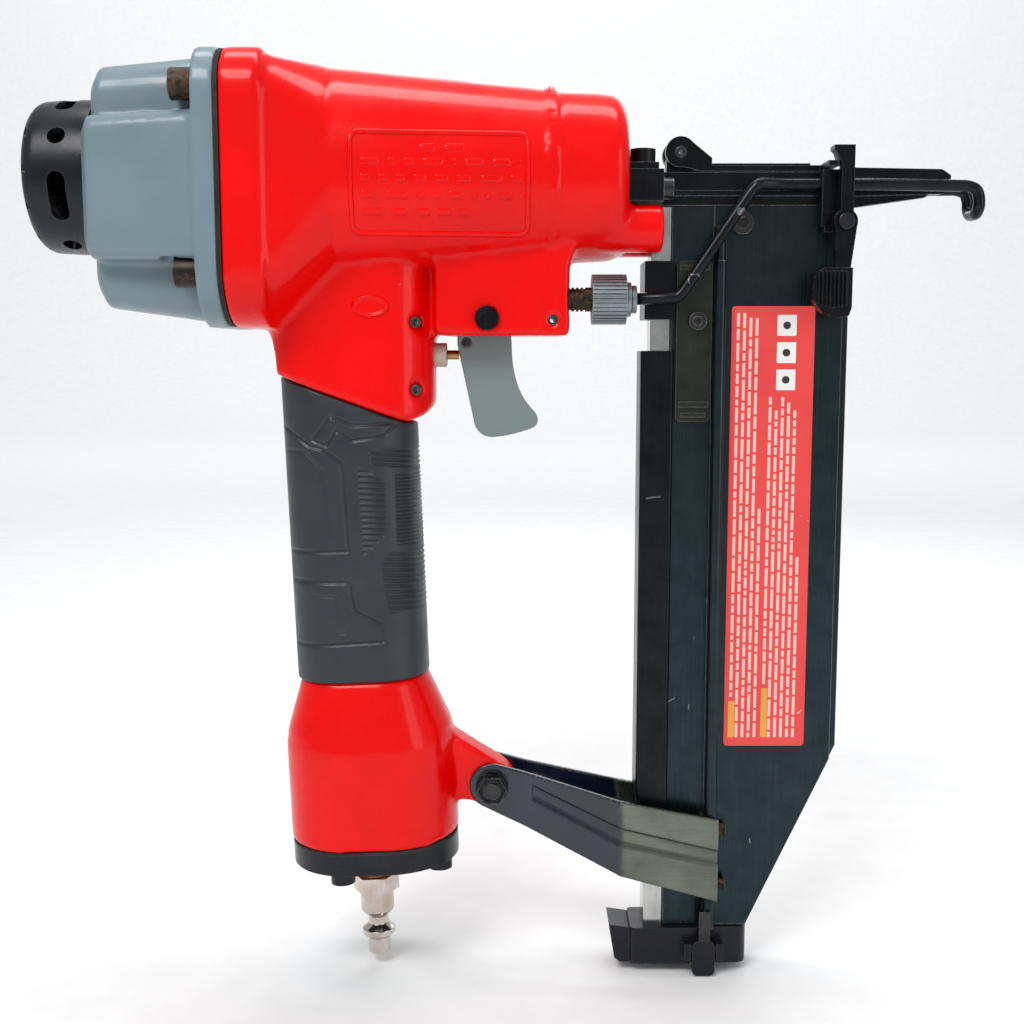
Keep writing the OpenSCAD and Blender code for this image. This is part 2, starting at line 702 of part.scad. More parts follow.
module contact_washer() color("darkgray") difference() {
    x = x_knob + knob_len + 1.6 + run_gap;
    rod_x(x, x + 1.6, -wire_y, z_wire_low, 4.6);
    rod_x(x - 1, x + 3, -wire_y, z_wire_low, wire_r + 0.4);
}

// The wire's route: out of the stud, up past the magazine, along the nose, down and round
// the front loop, and back along the far side to the guide
function wire_points() = let (
        x_back = x_knob + knob_len, x_loop = wire_reach - wire_r,
        z_loop = z_wire_high - loop_drop + wire_r) [
    [x_back - 2, -wire_y, z_wire_low],
    [x_heads + 6.5, -wire_y, z_wire_low + 0.6],
    [x_heads + 8.6, -wire_y, z_wire_low + 2.2],
    [x_heads + 31, -wire_y, z_wire_high - 2.6],
    [x_heads + 33.4, -wire_y, z_wire_high],
    [x_mag_front - 24, -guide_y, z_wire_high],
    [x_mag_front + 6, -guide_y, z_wire_high],
    [x_loop - 4, -loop_y, z_wire_high],
    [x_loop - 1, -loop_y, z_wire_high - 1.2],
    [x_loop, -loop_y, z_wire_high - 4],
    [x_loop, -loop_y, z_loop + 2],
    [x_loop, -loop_y + 2.4, z_loop],
    [x_loop, loop_y - 2.4, z_loop],
    [x_loop, loop_y, z_loop + 2],
    [x_loop, loop_y, z_wire_high - 4],
    [x_loop - 1, loop_y, z_wire_high - 1.2],
    [x_loop - 4, loop_y, z_wire_high],
    [x_mag_front + 6, guide_y, z_wire_high],
    [x_mag_front - 20, guide_y, z_wire_high]];

// Points of a path with each corner eased into a short curve
function eased(p, cut) = concat([p[0]],
    [for (i = [1 : len(p) - 2])
        let (a = p[i - 1] - p[i], b = p[i + 1] - p[i],
             d = min(cut, norm(a) * 0.45, norm(b) * 0.45))
        each curve(p[i] + a * d / norm(a), p[i], p[i] + b * d / norm(b), 2)],
    [p[len(p) - 1]]);

// A round wire swept along a path
module swept_wire(p, r, sides = 16) {
    last = len(p) - 1;
    unit = function (v) v / norm(v);
    t = [for (i = [0 : last]) unit(p[min(i + 1, last)] - p[max(i - 1, 0)])];
    n = [for (i = 0, v = unit(cross(t[0], [0, 0, 1])); i <= last; i = i + 1,
              v = i <= last ? unit(v - (v * t[i]) * t[i]) : v) v];
    points = [for (i = [0 : last], k = [0 : sides - 1])
        p[i] + r * (cos(k * 360 / sides) * n[i] + sin(k * 360 / sides) * cross(t[i], n[i]))];
    walls = [for (i = [0 : last - 1], k = [0 : sides - 1])
        let (a = i * sides + k, b = i * sides + (k + 1) % sides)
        each [[a, a + sides, b + sides], [a, b + sides, b]]];
    polyhedron(points, concat([[for (k = [0 : sides - 1]) k]], walls,
        [[for (k = [sides - 1 : -1 : 0]) last * sides + k]]), convexity = 10);
}

module contact_wire() color("black") swept_wire(eased(wire_points(), 3), wire_r);

module contact_spring() color("silver")
    translate([x_housing - 22.6, -wire_y, z_wire_low]) rotate([0, 90, 0]) coil(2.8, 0.8, 8.4, 5);

// ---- Nose, door and latch ----

module nose_body() color("dimgray") difference() {
    half = nose_t / 2;
    union() {
        block(x_front, x_base_block, -15, 15, -9, nose_top);
        block(x_front, x_base_block - 1.5, -13, 13, nose_top - eps, nose_top + 2.4);
        block(x_base_block - eps, x_nose_body_end, -half, half, nose_bottom, nose_top);
        // Narrow tip with its lower brace
        side(-3.2, 3.2) polygon([
            [x_nose_body_end - eps, nose_top + 2], [-3, nose_top + 1.4], [0, nose_top - 0.6],
            [0, -4.2], [-3, -5.4], [x_nose_body_end - eps, -6.2]]);
        side(-1.6, 1.6) polygon([
            [x_nose_body_end - eps, nose_bottom], [x_nose_body_end + 4, nose_bottom - 0.4],
            [-8, -6.4], [-6, -4.6], [x_nose_body_end - eps, -5]]);
        // Side grooves' lower lip
        block(x_base_block, x_nose_body_end, -half - 0.5, half + 0.5, -6.4, -4.6);
        // Hinge eye
        side(-2.6, 2.6) {
            translate([x_hinge, z_hinge]) circle(4.4);
            translate([x_hinge - 4.4, nose_top - 1]) square([8.8, z_hinge - nose_top + 1]);
        }
    }
    // Driver track, open to the door along the body and closed in the tip
    block(x_front - 1, x_nose_body_end, -head_slot / 2, head_slot / 2, -track_half, nose_top + eps);
    block(x_nose_body_end - 1, 2, -head_slot / 2, head_slot / 2, -track_half, track_half);
    // Nail entry from the magazine
    block(x_heads - 0.4, x_points, -nail_slot / 2, nail_slot / 2, -30, 0);
    block(x_heads - 0.4, x_heads + 4, -head_slot / 2, head_slot / 2, -30, 0);
    rod_y(-10, 10, x_hinge, z_hinge, hinge_pin_r + pin_gap);
    for (y = [-11, 11]) rod_x(x_front - 1, x_base_block + 1, y, -4.6, 2 + screw_gap);
    for (y = [-8.5, 8.5]) rod_z(-3, 9, x_front + 5.3, y, 2 + screw_gap);
}

module nose_screws() color("dimgray") for (y = [-11, 11])
    translate([x_base_block, y, -4.6]) rotate([0, 90, 0]) socket_screw(2, 3.6, 3.4, 15);

module nose_clamp_screws() color("black") for (y = [-8.5, 8.5])
    translate([x_front + 5.3, y, nose_top + 2.4]) socket_screw(2, 4.2, 4.6, 4.8);

module nose_door() color("black") difference() {
    union() {
        x_plate = x_hinge + 7.5;
        // Door end is bevelled to match the latch
        side(-door_half, door_half) polygon([
            [x_plate, door_bottom], [x_door_end, door_bottom],
            [x_door_end - 2 * wedge, door_top], [x_plate, door_top]]);
        // Strike ear that reaches out over the wire to the latch
        side(latch_y0 + 1.6, -door_half + 1) polygon([
            [x_door_end - 3.6, door_bottom + 0.2], [x_door_end - 0.08, door_bottom + 0.2],
            [x_door_end - 2 * wedge, door_top], [x_door_end - 3.6, door_top]]);
        // Stiffening rib
        block(x_plate, x_door_end - 6, -1.6, 1.6, door_top - eps, door_top + 1.2);
        for (s = [-1, 1]) side(s > 0 ? 2.9 : -door_half, s > 0 ? door_half : -2.9) {
            translate([x_hinge, z_hinge]) circle(hinge_r);
            polygon([[x_hinge + 2.2, z_hinge + 4.6], [x_hinge + 10.5, door_top + 2.4],
                     [x_hinge + 10.5, door_bottom], [x_hinge + 7, door_bottom],
                     [x_hinge + 1, z_hinge - 4.9]]);
        }
    }
    rod_y(-10, 10, x_hinge, z_hinge, hinge_pin_r + pin_gap);
}

module door_pin() color("dimgray") difference() {
    rod_y(-door_half, door_half, x_hinge, z_hinge, hinge_pin_r);
    rod_y(-10, 10, x_hinge, z_hinge, 0.9);
}

// Blocks on both sides of the nose that guide the wire; the near one carries the latch
module wire_guide() color("black") difference() {
    union() {
        block(x_guide, x_guide + guide_len, -guide_half, guide_half, -17, nose_top);
        block(x_guide + 1, x_latch + 3, -guide_half, -channel_half - run_gap, z_latch - 3,
              z_wire_high - wire_r - 4);
    }
    block(x_guide - 1, x_guide + guide_len + 1, -nose_t / 2 - 0.5, nose_t / 2 + 0.5, -30, 10);
    block(x_guide - 1, x_guide + 20, -channel_half - run_gap, channel_half + run_gap,
          -30, nose_bottom + run_gap);
    for (y = [-guide_y, guide_y])
        rod_x(x_guide - 1, x_guide + guide_len + 1, y, z_wire_high, wire_r + run_gap);
    rod_y(-40, -channel_half - run_gap - 2, x_latch, z_latch, latch_pin_r + screw_gap);
}

module latch_lever() color("black") difference() {
    union() {
        x = x_latch;
        // Arm, knee and eye
        side(latch_y0, latch_y0 + 3.6) {
            translate([x, z_latch]) circle(4);
            polygon([[x - 1.8, 8.4], [x + 2.4, 8.4], [x + 2.4, z_latch + 2], [x + 3.8, z_latch - 1],
                     [x + 1.8, -33], [x - 3, -33], [x - 3.4, z_latch - 1], [x - 1.8, z_latch + 3]]);
        }
        // Hook over the strike ear, sloped to match the door's end
        hook_x = x_door_end + run_gap + 0.1;
        side(latch_y0, latch_y1) polygon([
            [x + 2.4, door_bottom + 0.4], [x + 2.4, 8.4], [x - 4.4, 8.4], [x - 4.4, 7],
            [hook_x - wedge * 4.6, door_bottom + 4.6], [hook_x - wedge * 0.4, door_bottom + 0.4]]);
        // Thumb tab with grip ribs
        side(latch_y0 - 1.4, latch_y0 + 3.6) polygon(concat(
            [[x + 2.4, -31], [x + 2.4, -44]],
            curve([x + 1.6, -46.5], [x - 2, -48], [x - 5, -46.6], 4),
            curve([x - 7, -45.6], [x - 10.6, -42.6], [x - 10.6, -38.5], 5),
            curve([x - 10.6, -36], [x - 10, -31.8], [x - 6.6, -31], 5)));
        for (i = [0 : 7]) block(x - 9.2 + 1.3 * i, x - 8.5 + 1.3 * i, latch_y0 - 2.1,
                                latch_y0 - 1.3, -44 + abs(i - 4) * 0.3, -32.2);
    }
    rod_y(-40, 0, x_latch, z_latch, latch_pin_r + pin_gap);
}

module latch_pin() color("dimgray") {
    rod_y(latch_y0 - 0.9, -channel_half - run_gap - 3, x_latch, z_latch, latch_pin_r);
    rod_y(latch_y0 - 1.4, latch_y0 - run_gap, x_latch, z_latch, 2.6);
}

// ---- Magazine ----

module magazine_channel() color("black") difference() {
    union() {
        translate([0, 0, z_mag]) linear_extrude(nose_bottom - z_mag) {
            translate([x_channel_back, -panel_half]) square([x_bead - x_channel_back + 1, 2 * panel_half]);
            translate([x_bead, -channel_half])
                square([x_mag_front - x_bead - 2.2, channel_t]);
            translate([x_mag_front - 3, -channel_half + 1.2])
                square([3, channel_t - 2.4]);
        }
        translate([0, 0, z_mag]) linear_extrude(z_bead_step - z_mag)
            round_rect(x_bead, x_bead + bead_w, -bead_half, bead_half, bead_w / 2 - 0.1);
        // Above the step the bead is narrower, to pass inside the contact wire
        translate([0, 0, z_bead_step - 1]) linear_extrude(-16.6 - z_bead_step + 1)
            round_rect(x_bead, x_bead + bead_w, -bead_top_half, bead_top_half, bead_w / 2 - 0.1);
    }
    block(x_channel_back - 1, x_points, -nail_slot / 2, nail_slot / 2, z_mag - 1, 0);
    block(x_channel_back - 1, x_heads + 4 + 3, -head_slot / 2, head_slot / 2, z_mag - 1, 0);
    rod_z(z_mag + 4, 0, x_spring, 0, spring_bore_r);
    // Sloped lower front corner
    side(-20, 20) polygon([[x_mag_front + 1, z_mag + 68], [x_mag_front - 31, z_mag - 1],
                           [x_mag_front + 1, z_mag - 1]]);
    for (s = [-1, 1], z = arm_screw_z())
        rod_x(x_bead - 1, x_bead + bead_w + 1, s * arm_screw_y, z, arm_screw_r + screw_gap);
    for (s = [-1, 1]) rod_y(s > 0 ? 3.5 : -20, s > 0 ? 20 : -3.5, x_bead + 9, -15.5, 2 + screw_gap);
    for (s = [-1, 1]) rod_y(s > 0 ? 2.4 : -20, s > 0 ? 20 : -2.4, x_plate_screw(), -48, 2 + screw_gap);
}

function arm_screw_z() = [z_lug - arm_drop + 25, z_lug - arm_drop + 5.4];
function x_plate_screw() = x_channel_back + 8.6;

module magazine_rail() color("gainsboro") difference() {
    block(x_heads_wall, x_channel_back - run_gap, -rail_half, rail_half,
          z_mag - 7, nose_bottom - run_gap);
    block(x_heads, x_channel_back + 1, -head_slot / 2, head_slot / 2, z_mag - 20, 0);
}

module rail_cover() color("black") difference() {
    top = -58;
    low = z_mag + 26;
    outer = panel_half + cover_wall;
    translate([0, 0, low]) linear_extrude(top - low)
        round_rect(x_cover_back, x_channel_back + 1, -outer, outer, 1.2);
    block(x_heads_wall - run_gap, x_channel_back + 5, -panel_half, panel_half, low - 1, top + 1);
}

module rail_guide() color("black") difference() {
    outer = panel_half + cover_wall + 0.9;
    block(x_heads_wall - run_gap - 2, x_channel_back + 1, -outer, outer, -47.5, -28);
    block(x_heads_wall - run_gap, x_channel_back + 5, -panel_half, panel_half, -60, -20);
}

// Cover plate beside the top of the channel; s is the side it lies on
module side_plate(s) {
    y0 = s > 0 ? panel_half : -panel_half - 2;
    difference() {
        union() {
            side(y0, y0 + 2) translate([0, -82])
                round_rect(x_channel_back + 1.6, x_bead - 0.4, 0, 54, 2);
            side(y0 + (s > 0 ? 2 - eps : -1.2), y0 + (s > 0 ? 3.2 : eps)) {
                translate([x_channel_back + 2.6, -31]) square([10, 1.6]);
                translate([x_channel_back + 2.6, -77]) square([10, 1.8]);
                translate([x_channel_back + 3.4, -80.4]) square([8.4, 1.4]);
            }
        }
        rod_y(-20, 20, x_plate_screw(), -48, 2 + screw_gap);
    }
}

module side_plate_near() color("darkolivegreen") side_plate(-1);
module side_plate_far() color("darkolivegreen") side_plate(1);

module side_plate_screws() color("dimgray") for (s = [0, 1])
    translate([x_plate_screw(), (s == 0 ? -1 : 1) * (panel_half + 2), -48])
        rotate([s == 0 ? 90 : -90, 0, 0]) socket_screw(2, 3, 2.2, 5);

module magazine_screws() color("dimgray") for (s = [0, 1])
    translate([x_bead + 9, (s == 0 ? -1 : 1) * channel_half, -15.5])
        rotate([s == 0 ? 90 : -90, 0, 0]) socket_screw(2, 3.8, 2, 3.2);

module nail_pusher() color("silver") union() {
    block(x_channel_back + 2, x_points - 0.6, -nail_slot / 2 + 0.25, nail_slot / 2 - 0.25, -34, -12);
    rod_z(-34, -26, x_spring, 0, spring_bore_r - run_gap);
}

module pusher_spring() color("silver")
    translate([x_spring, 0, z_mag + 4.2]) coil(2.3, 0.8, -z_mag - 38.6, 20);

module magazine_cap() color("black") difference() {
    top = z_mag - 0.6;
    low = z_mag - 14;
    union() {
        translate([0, 0, low]) linear_extrude(top - low) {
            round_rect(x_cover_back - 1.4, x_bead + 0.6, -cap_half, cap_half, 2);
            round_rect(x_bead - 2, x_bead + bead_w + 12, -8, 8, 4);
        }
        // Finger hook at the back
        side(-7.5, 7.5) polygon([
            [x_cover_back - 9, z_mag], [x_cover_back - 2, z_mag - 1], [x_cover_back + 2, z_mag - 3],
            [x_cover_back + 2, low], [x_cover_back - 5, low], [x_cover_back - 7, low + 1.6]]);
        // Ears that hold the latch's pips
        for (x = [x_bead - 7, x_bead + 4.3])
            block(x, x + 2.7, -cap_half - run_gap - 3.6, -cap_half + 4, z_mag - 11, z_mag - 5);
    }
    block(x_heads_wall, x_channel_back - run_gap, -rail_half, rail_half, z_mag - 7, z_mag + 5);
    rod_x(x_bead - 8, x_bead + 8, -cap_half - run_gap - 1.65, z_mag - 8, 1.2 + pin_gap);
    // Relief behind the latch's thumb end
    block(x_bead - 4.4, x_bead + 4.4, -20, -cap_half + 1.6, low - 1, z_mag - 8);
    block(x_bead - 4.3, x_bead + 4.3, -20, -cap_half, low - 1, z_mag + 1);
}

module magazine_latch() color("black") {
    side(-cap_half - run_gap - 3.3, -cap_half - run_gap)
        round_rect(x_bead - 4, x_bead + 4, z_mag - 16.8, z_mag - 4, 2);
    // Pivot pips that turn in the cap's ears
    rod_x(x_bead - 7, x_bead + 7, -cap_half - run_gap - 1.65, z_mag - 8, 1.2);
}

module latch_tongue() color("gray")
    block(x_bead - 1.8, x_bead + 2.2, -bead_half - run_gap - 0.9, -bead_half - run_gap,
          z_mag - 4 + eps, z_mag + 7);

// ---- Arms between the handle and the magazine ----

// Side view of an arm: a round eye at the lug, a slope down, and a tall end at the bead
module arm_side() polygon(concat(
    arc([x_lug, z_lug], 8, 75, 244, 20),
    [[x_arm_bend, z_arm_bend - 6.76], [x_bead + bead_w + 0.4, z_lug - arm_drop],
     [x_bead + bead_w + 0.4, z_lug - arm_drop + 30], [x_arm_bend, z_arm_bend + 20.44]]));

// Plan view of an arm's strip: flat at the lug, spreading, and flat again at the bead
module arm_strip() {
    a = lug_half + arm_gap;
    b = bead_half + 0.1;
    x0 = x_lug - 10;
    x1 = x_lug + 12;
    x2 = x_arm_bend;
    x3 = x_bead + bead_w + 0.4;
    polygon([[x0, a], [x1, a], [x2, b], [x3, b], [x3, b + arm_t],
             [x2 - 0.2, b + arm_t], [x1 - 0.2, a + arm_t], [x0, a + arm_t]]);
}

// Plan view of the whole arm, with the tab that is turned in behind the bead
module arm_plan() {
    arm_strip();
    translate([x_bead - 2, channel_half]) square([2, bead_half + 1.1 - channel_half]);
}

module arm_near_shape() difference() {
    intersection() {
        side(-30, 30) arm_side();
        translate([0, 0, z_mag]) linear_extrude(-z_mag) mirror([0, 1]) arm_plan();
    }
    rod_y(-30, 0, x_lug, z_lug, lug_bolt_r + screw_gap);
    for (z = arm_screw_z())
        rod_x(x_bead - 5, x_bead + 0.5, -arm_screw_y, z, arm_screw_r + screw_gap);
    // Pressed groove along the middle
    intersection() {
        side(-30, 0) polygon([
            [x_lug + 14, z_lug + 0.6], [x_arm_bend, z_arm_bend + 10.84],
            [x_bead + 8, z_lug - arm_drop + 18], [x_bead + 8, z_lug - arm_drop + 13],
            [x_arm_bend, z_arm_bend + 4.64], [x_lug + 14, z_lug - 4.4]]);
        translate([0, 0, z_mag]) linear_extrude(-z_mag) mirror([0, 1])
            translate([0, arm_t - 0.8]) arm_strip();
    }
}

module near_arm() color("midnightblue") arm_near_shape();
module far_arm() color("midnightblue") mirror([0, 1, 0]) arm_near_shape();

module arm_bolt() color("dimgray")
    translate([x_lug, lug_half + arm_gap + arm_t, z_lug]) rotate([-90, 0, 0])
        socket_screw(lug_bolt_r, 5, 4, 2 * (lug_half + arm_gap + arm_t) + 6);

module arm_nut() color("black") {
    y = -lug_half - arm_gap - arm_t;
    difference() {
        union() {
            rod_y(y - 1, y, x_lug, z_lug, 6);
            translate([x_lug, y - 1, z_lug]) rotate([90, 0, 0]) cylinder(h = 4.2, r = 5.3, $fn = 6);
        }
        rod_y(-40, 0, x_lug, z_lug, lug_bolt_r + pin_gap);
    }
}

module arm_screws() color("saddlebrown") for (s = [-1, 1], z = arm_screw_z())
    translate([x_bead + bead_w, s * arm_screw_y, z]) rotate([0, 90, 0])
        socket_screw(arm_screw_r, arm_screw_head_r, 3.2, bead_w + 2);

// ---- Handle's lower end ----

module at_end_screws() translate([base_shift, 0, base_bottom])
    for (s = [-1, 1], p = [[-10, -base_t / 2 + 4.9], [base_w / 2 - 6.6, -9]]) translate(s * p) children();

module handle_end_cap() color("black") in_handle() difference() {
    union() {
        translate([base_shift, 0, z_end_cap - end_plate_t]) linear_extrude(end_plate_t) base_outline(0.4);
        translate([0, 0, z_hub]) cylinder(h = hub_len + 1, r = 8.4);
        translate([0, 0, z_hub + 4.4]) cylinder(h = hub_len - 3, r1 = 10, r2 = 12);
        translate([0, 0, -cap_gasket_t - end_plate_t - 3.4]) at_end_screws()
            cylinder(h = 6, r = 4.2);
    }
    translate([0, 0, z_hub - 1]) cylinder(h = 40, r = plug_thread_r + screw_gap);
    at_end_screws() translate([0, 0, -40]) cylinder(h = 50, r = 1.9 + screw_gap);
    translate([0, 0, -cap_gasket_t - end_plate_t - 3.5]) at_end_screws()
        cylinder(h = 3, r = 3.3);
}

module end_cap_screws() color("dimgray") in_handle()
    translate([0, 0, -cap_gasket_t - end_plate_t - 0.5]) at_end_screws()
        rotate([180, 0, 0]) socket_screw(1.9, 3.2, 2.6, 18);

module end_cap_gasket() color("black") in_handle() difference() {
    translate([base_shift, 0, z_end_cap]) linear_extrude(cap_gasket_t) base_outline(0.4);
    difference() {
        translate([base_shift, 0, z_end_cap - 1]) linear_extrude(4) base_outline(5);
        translate([0, 0, -5]) at_end_screws() cylinder(h = 10, r = 4.2);
    }
    at_end_screws() translate([0, 0, -5]) cylinder(h = 10, r = 1.9 + screw_gap);
}

module plug_seal() color("chocolate") in_handle() difference() {
    translate([0, 0, z_hub - seal_t]) cylinder(h = seal_t, r = 6.4);
    translate([0, 0, z_hub - 5]) cylinder(h = 10, r = plug_thread_r + screw_gap);
}

module air_plug() color("silver") in_handle() translate([0, 0, z_hub - seal_t]) difference() {
    union() {
        cylinder(h = 12, r = plug_thread_r);
        translate([0, 0, -6]) cylinder(h = 6, r = 14.3 / 2 / cos(30), $fn = 6);
        rotate_extrude($fn = 64) polygon([
            [0, -30.4], [3, -30.4], [3.9, -29.4], [3.9, -24.2], [4.6, -23.4], [5.95, -22.4],
            [5.95, -20.6], [4.6, -19.6], [3.6, -18.6], [3.6, -16], [5.4, -14.2], [6, -13.4],
            [6, -5.9], [0, -5.9]]);
    }
    translate([0, 0, -40]) cylinder(h = 60, r = 2.4);
}

module label() color("tomato")
    side(-channel_half - 0.3, -channel_half)
        round_rect(x_bead + bead_w + 2.4, x_mag_front - 11.4, z_mag + 66, -43, 1);

body_casting();
rubber_grip();
cylinder_cap();
cap_gasket();
cap_screws();
exhaust_deflector();
deflector_screw();
cylinder_sleeve();
sleeve_rings();
piston();
piston_ring();
driver_blade();
bumper();
head_valve();
head_valve_spring();
trigger_valve_body();
valve_stem();
valve_spring();
trigger();
trigger_pivot_screw();
trigger_lever();
trigger_lever_pin();
roll_pins();
depth_stud();
depth_knob();
contact_washer();
contact_wire();
contact_spring();
nose_body();
nose_screws();
nose_clamp_screws();
nose_door();
door_pin();
wire_guide();
latch_lever();
latch_pin();
magazine_channel();
magazine_rail();
rail_cover();
rail_guide();
side_plate_near();
side_plate_far();
side_plate_screws();
magazine_screws();
nail_pusher();
pusher_spring();
magazine_cap();
magazine_latch();
latch_tongue();
near_arm();
far_arm();
arm_bolt();
arm_nut();
arm_screws();
handle_end_cap();
end_cap_screws();
end_cap_gasket();
air_plug();
plug_seal();
label();
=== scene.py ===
"""Looks of a pneumatic nailer: red casting, grey cylinder cap, rubber grip, black magazine.

The CAD frame is loaded first. Pieces that need finer shapes than the CAD gives are worked
out here and stand for their CAD nodes; the others keep their CAD solid with softened edges.
Lengths are metres; MM turns a maker's millimetres into metres.
"""
import json
import math

import bmesh
import bpy
import numpy as np
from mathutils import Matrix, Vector

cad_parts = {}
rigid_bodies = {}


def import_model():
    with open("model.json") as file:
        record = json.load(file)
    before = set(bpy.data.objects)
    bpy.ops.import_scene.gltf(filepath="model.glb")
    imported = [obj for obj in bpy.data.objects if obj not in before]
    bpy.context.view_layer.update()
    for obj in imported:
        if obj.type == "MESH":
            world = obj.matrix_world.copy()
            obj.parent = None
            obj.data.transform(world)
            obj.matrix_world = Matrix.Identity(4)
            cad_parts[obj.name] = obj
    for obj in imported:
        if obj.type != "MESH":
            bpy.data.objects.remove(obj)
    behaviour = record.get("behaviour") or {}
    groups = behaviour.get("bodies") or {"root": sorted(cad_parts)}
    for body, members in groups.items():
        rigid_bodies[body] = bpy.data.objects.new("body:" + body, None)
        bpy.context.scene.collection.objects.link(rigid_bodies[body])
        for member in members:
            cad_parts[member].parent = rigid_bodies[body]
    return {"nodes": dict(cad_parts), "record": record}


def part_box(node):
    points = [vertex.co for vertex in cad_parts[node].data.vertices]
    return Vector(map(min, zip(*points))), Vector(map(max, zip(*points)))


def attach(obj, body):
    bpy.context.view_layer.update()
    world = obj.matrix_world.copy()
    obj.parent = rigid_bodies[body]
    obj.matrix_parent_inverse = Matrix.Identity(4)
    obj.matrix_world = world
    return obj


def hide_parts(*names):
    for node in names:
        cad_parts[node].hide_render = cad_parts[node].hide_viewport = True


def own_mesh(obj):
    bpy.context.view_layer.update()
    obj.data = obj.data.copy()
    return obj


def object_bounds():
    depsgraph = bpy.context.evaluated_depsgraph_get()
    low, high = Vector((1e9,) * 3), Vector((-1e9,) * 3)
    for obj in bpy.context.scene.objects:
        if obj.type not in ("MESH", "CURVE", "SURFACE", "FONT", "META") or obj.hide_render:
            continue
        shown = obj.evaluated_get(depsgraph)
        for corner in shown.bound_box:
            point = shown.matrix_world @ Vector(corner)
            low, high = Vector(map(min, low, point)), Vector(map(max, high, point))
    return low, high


for left_over in list(bpy.data.objects):
    bpy.data.objects.remove(left_over)

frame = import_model()
CAD_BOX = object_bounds()
MM = 0.001
rng = np.random.default_rng(7)


def bodies_by_node():
    """Body name of each CAD node."""
    groups = frame["record"]["behaviour"]["bodies"]
    return {n: b for b, members in groups.items() for n in members}


BODY_OF = bodies_by_node()


# ---- Camera, light and floor ----

def place_camera():
    """Camera level with the magazine's middle, looking down by 7 degrees."""
    data = bpy.data.cameras.new("camera")
    data.lens = 46.0
    data.sensor_width = 36.0
    camera = bpy.data.objects.new("camera", data)
    bpy.context.scene.collection.objects.link(camera)
    aim = Vector((-0.148, 0.0, -0.114))
    distance, rise = 0.45815, math.radians(7.0)
    camera.location = aim + distance * Vector((0, -math.cos(rise), math.sin(rise)))
    camera.rotation_euler = (math.pi / 2 - rise, 0, 0)
    bpy.context.scene.camera = camera


def area_light(name, place, aim, size, power, tint=(1, 1, 1)):
    """A rectangular soft light at place that faces aim."""
    data = bpy.data.lights.new(name, "AREA")
    data.shape = "RECTANGLE"
    data.size, data.size_y = size
    data.energy = power
    data.color = tint
    lamp = bpy.data.objects.new(name, data)
    lamp.location = place
    lamp.rotation_euler = (Vector(aim) - Vector(place)).to_track_quat("-Z", "Y").to_euler()
    bpy.context.scene.collection.objects.link(lamp)


def light_studio():
    """Four softboxes round the tool, one that lights the wall behind it, and a pale surround."""
    middle = (-0.15, 0, -0.1)
    area_light("key_light", (-0.55, -0.75, 0.75), middle, (0.6, 0.4), 8.5)
    area_light("top_light", (-0.12, 0.12, 0.95), middle, (0.9, 0.3), 6.5)
    area_light("fill_light", (0.75, -0.65, 0.1), middle, (0.4, 0.9), 2.5)
    area_light("back_light", (0.1, 0.95, 0.5), middle, (0.9, 0.5), 3)
    area_light("wall_light", (-0.15, 1.4, 2.2), (-0.15, 4.2, 0.9), (5, 1), 75)
    world = bpy.data.worlds.new("pale_surround")
    world.use_nodes = True
    background = world.node_tree.nodes["Background"]
    background.inputs["Color"].default_value = (0.93, 0.94, 0.95, 1)
    background.inputs["Strength"].default_value = 0.5
    bpy.context.scene.world = world
    bpy.context.scene.view_settings.view_transform = "Standard"
    bpy.context.scene.view_settings.look = "None"


def make_floor(material):
    """A pale sheet that lies just under the tool and curves up far behind it."""
    low = CAD_BOX[0][2] - 0.0005
    across = np.linspace(-6, 6, 9)
    bend = np.linspace(0, math.pi / 2, 17)
    radius, wall = 1.2, 3.0
    run = np.concatenate([[-6.0], wall + radius * np.sin(bend), [wall + radius]])
    rise = np.concatenate([[0.0], radius * (1 - np.cos(bend)), [5.0]])
    y = np.broadcast_to(run, (across.size, run.size))
    z = np.broadcast_to(rise + low, (across.size, run.size))
    x = np.broadcast_to(across[:, None], (across.size, run.size))
    floor = grid_piece("floor", np.stack([x, y, z], -1), material)


# ---- Mesh helpers ----

def mesh_piece(name, points, faces, material, smooth=True):
    """An object at the origin from an array of points and a list of faces."""
    mesh = bpy.data.meshes.new(name)
    mesh.from_pydata(points.tolist(), [], faces.tolist() if hasattr(faces, "tolist") else faces)
    mesh.polygons.foreach_set("use_smooth", np.full(len(mesh.polygons), smooth))
    mesh.materials.append(material)
    mesh.update()
    piece = bpy.data.objects.new(name, mesh)
    bpy.context.scene.collection.objects.link(piece)
    return piece


def grid_faces(rows, columns, wrap_rows=False, wrap_columns=False, start=0):
    """Quads of a grid of points, row by row; a wrapped direction joins its last line to its first."""
    i = np.arange(rows if wrap_rows else rows - 1)
    j = np.arange(columns if wrap_columns else columns - 1)
    i, j = (g.ravel() for g in np.meshgrid(i, j, indexing="ij"))
    i1, j1 = (i + 1) % rows, (j + 1) % columns
    return start + np.stack([i * columns + j, i1 * columns + j, i1 * columns + j1, i * columns + j1], -1)


def grid_piece(name, points, material, wrap_rows=False, wrap_columns=False):
    """An object from a rows by columns grid of points."""
    rows, columns = points.shape[:2]
    faces = grid_faces(rows, columns, wrap_rows, wrap_columns)
    return mesh_piece(name, points.reshape(-1, 3), faces, material)


def joined(parts):
    """One (points, faces) from several, with the faces renumbered."""
    points, faces, start = [], [], 0
    for p, f in parts:
        points.append(p)
        faces.extend([[start + int(k) for k in face] for face in f])
        start += len(p)
    return np.concatenate(points), faces


def face_outward(piece):
    """Recalculates the normals of a closed piece."""
    work = bmesh.new()
    work.from_mesh(piece.data)
    bmesh.ops.recalc_face_normals(work, faces=work.faces)
    work.to_mesh(piece.data)
    work.free()
    return piece


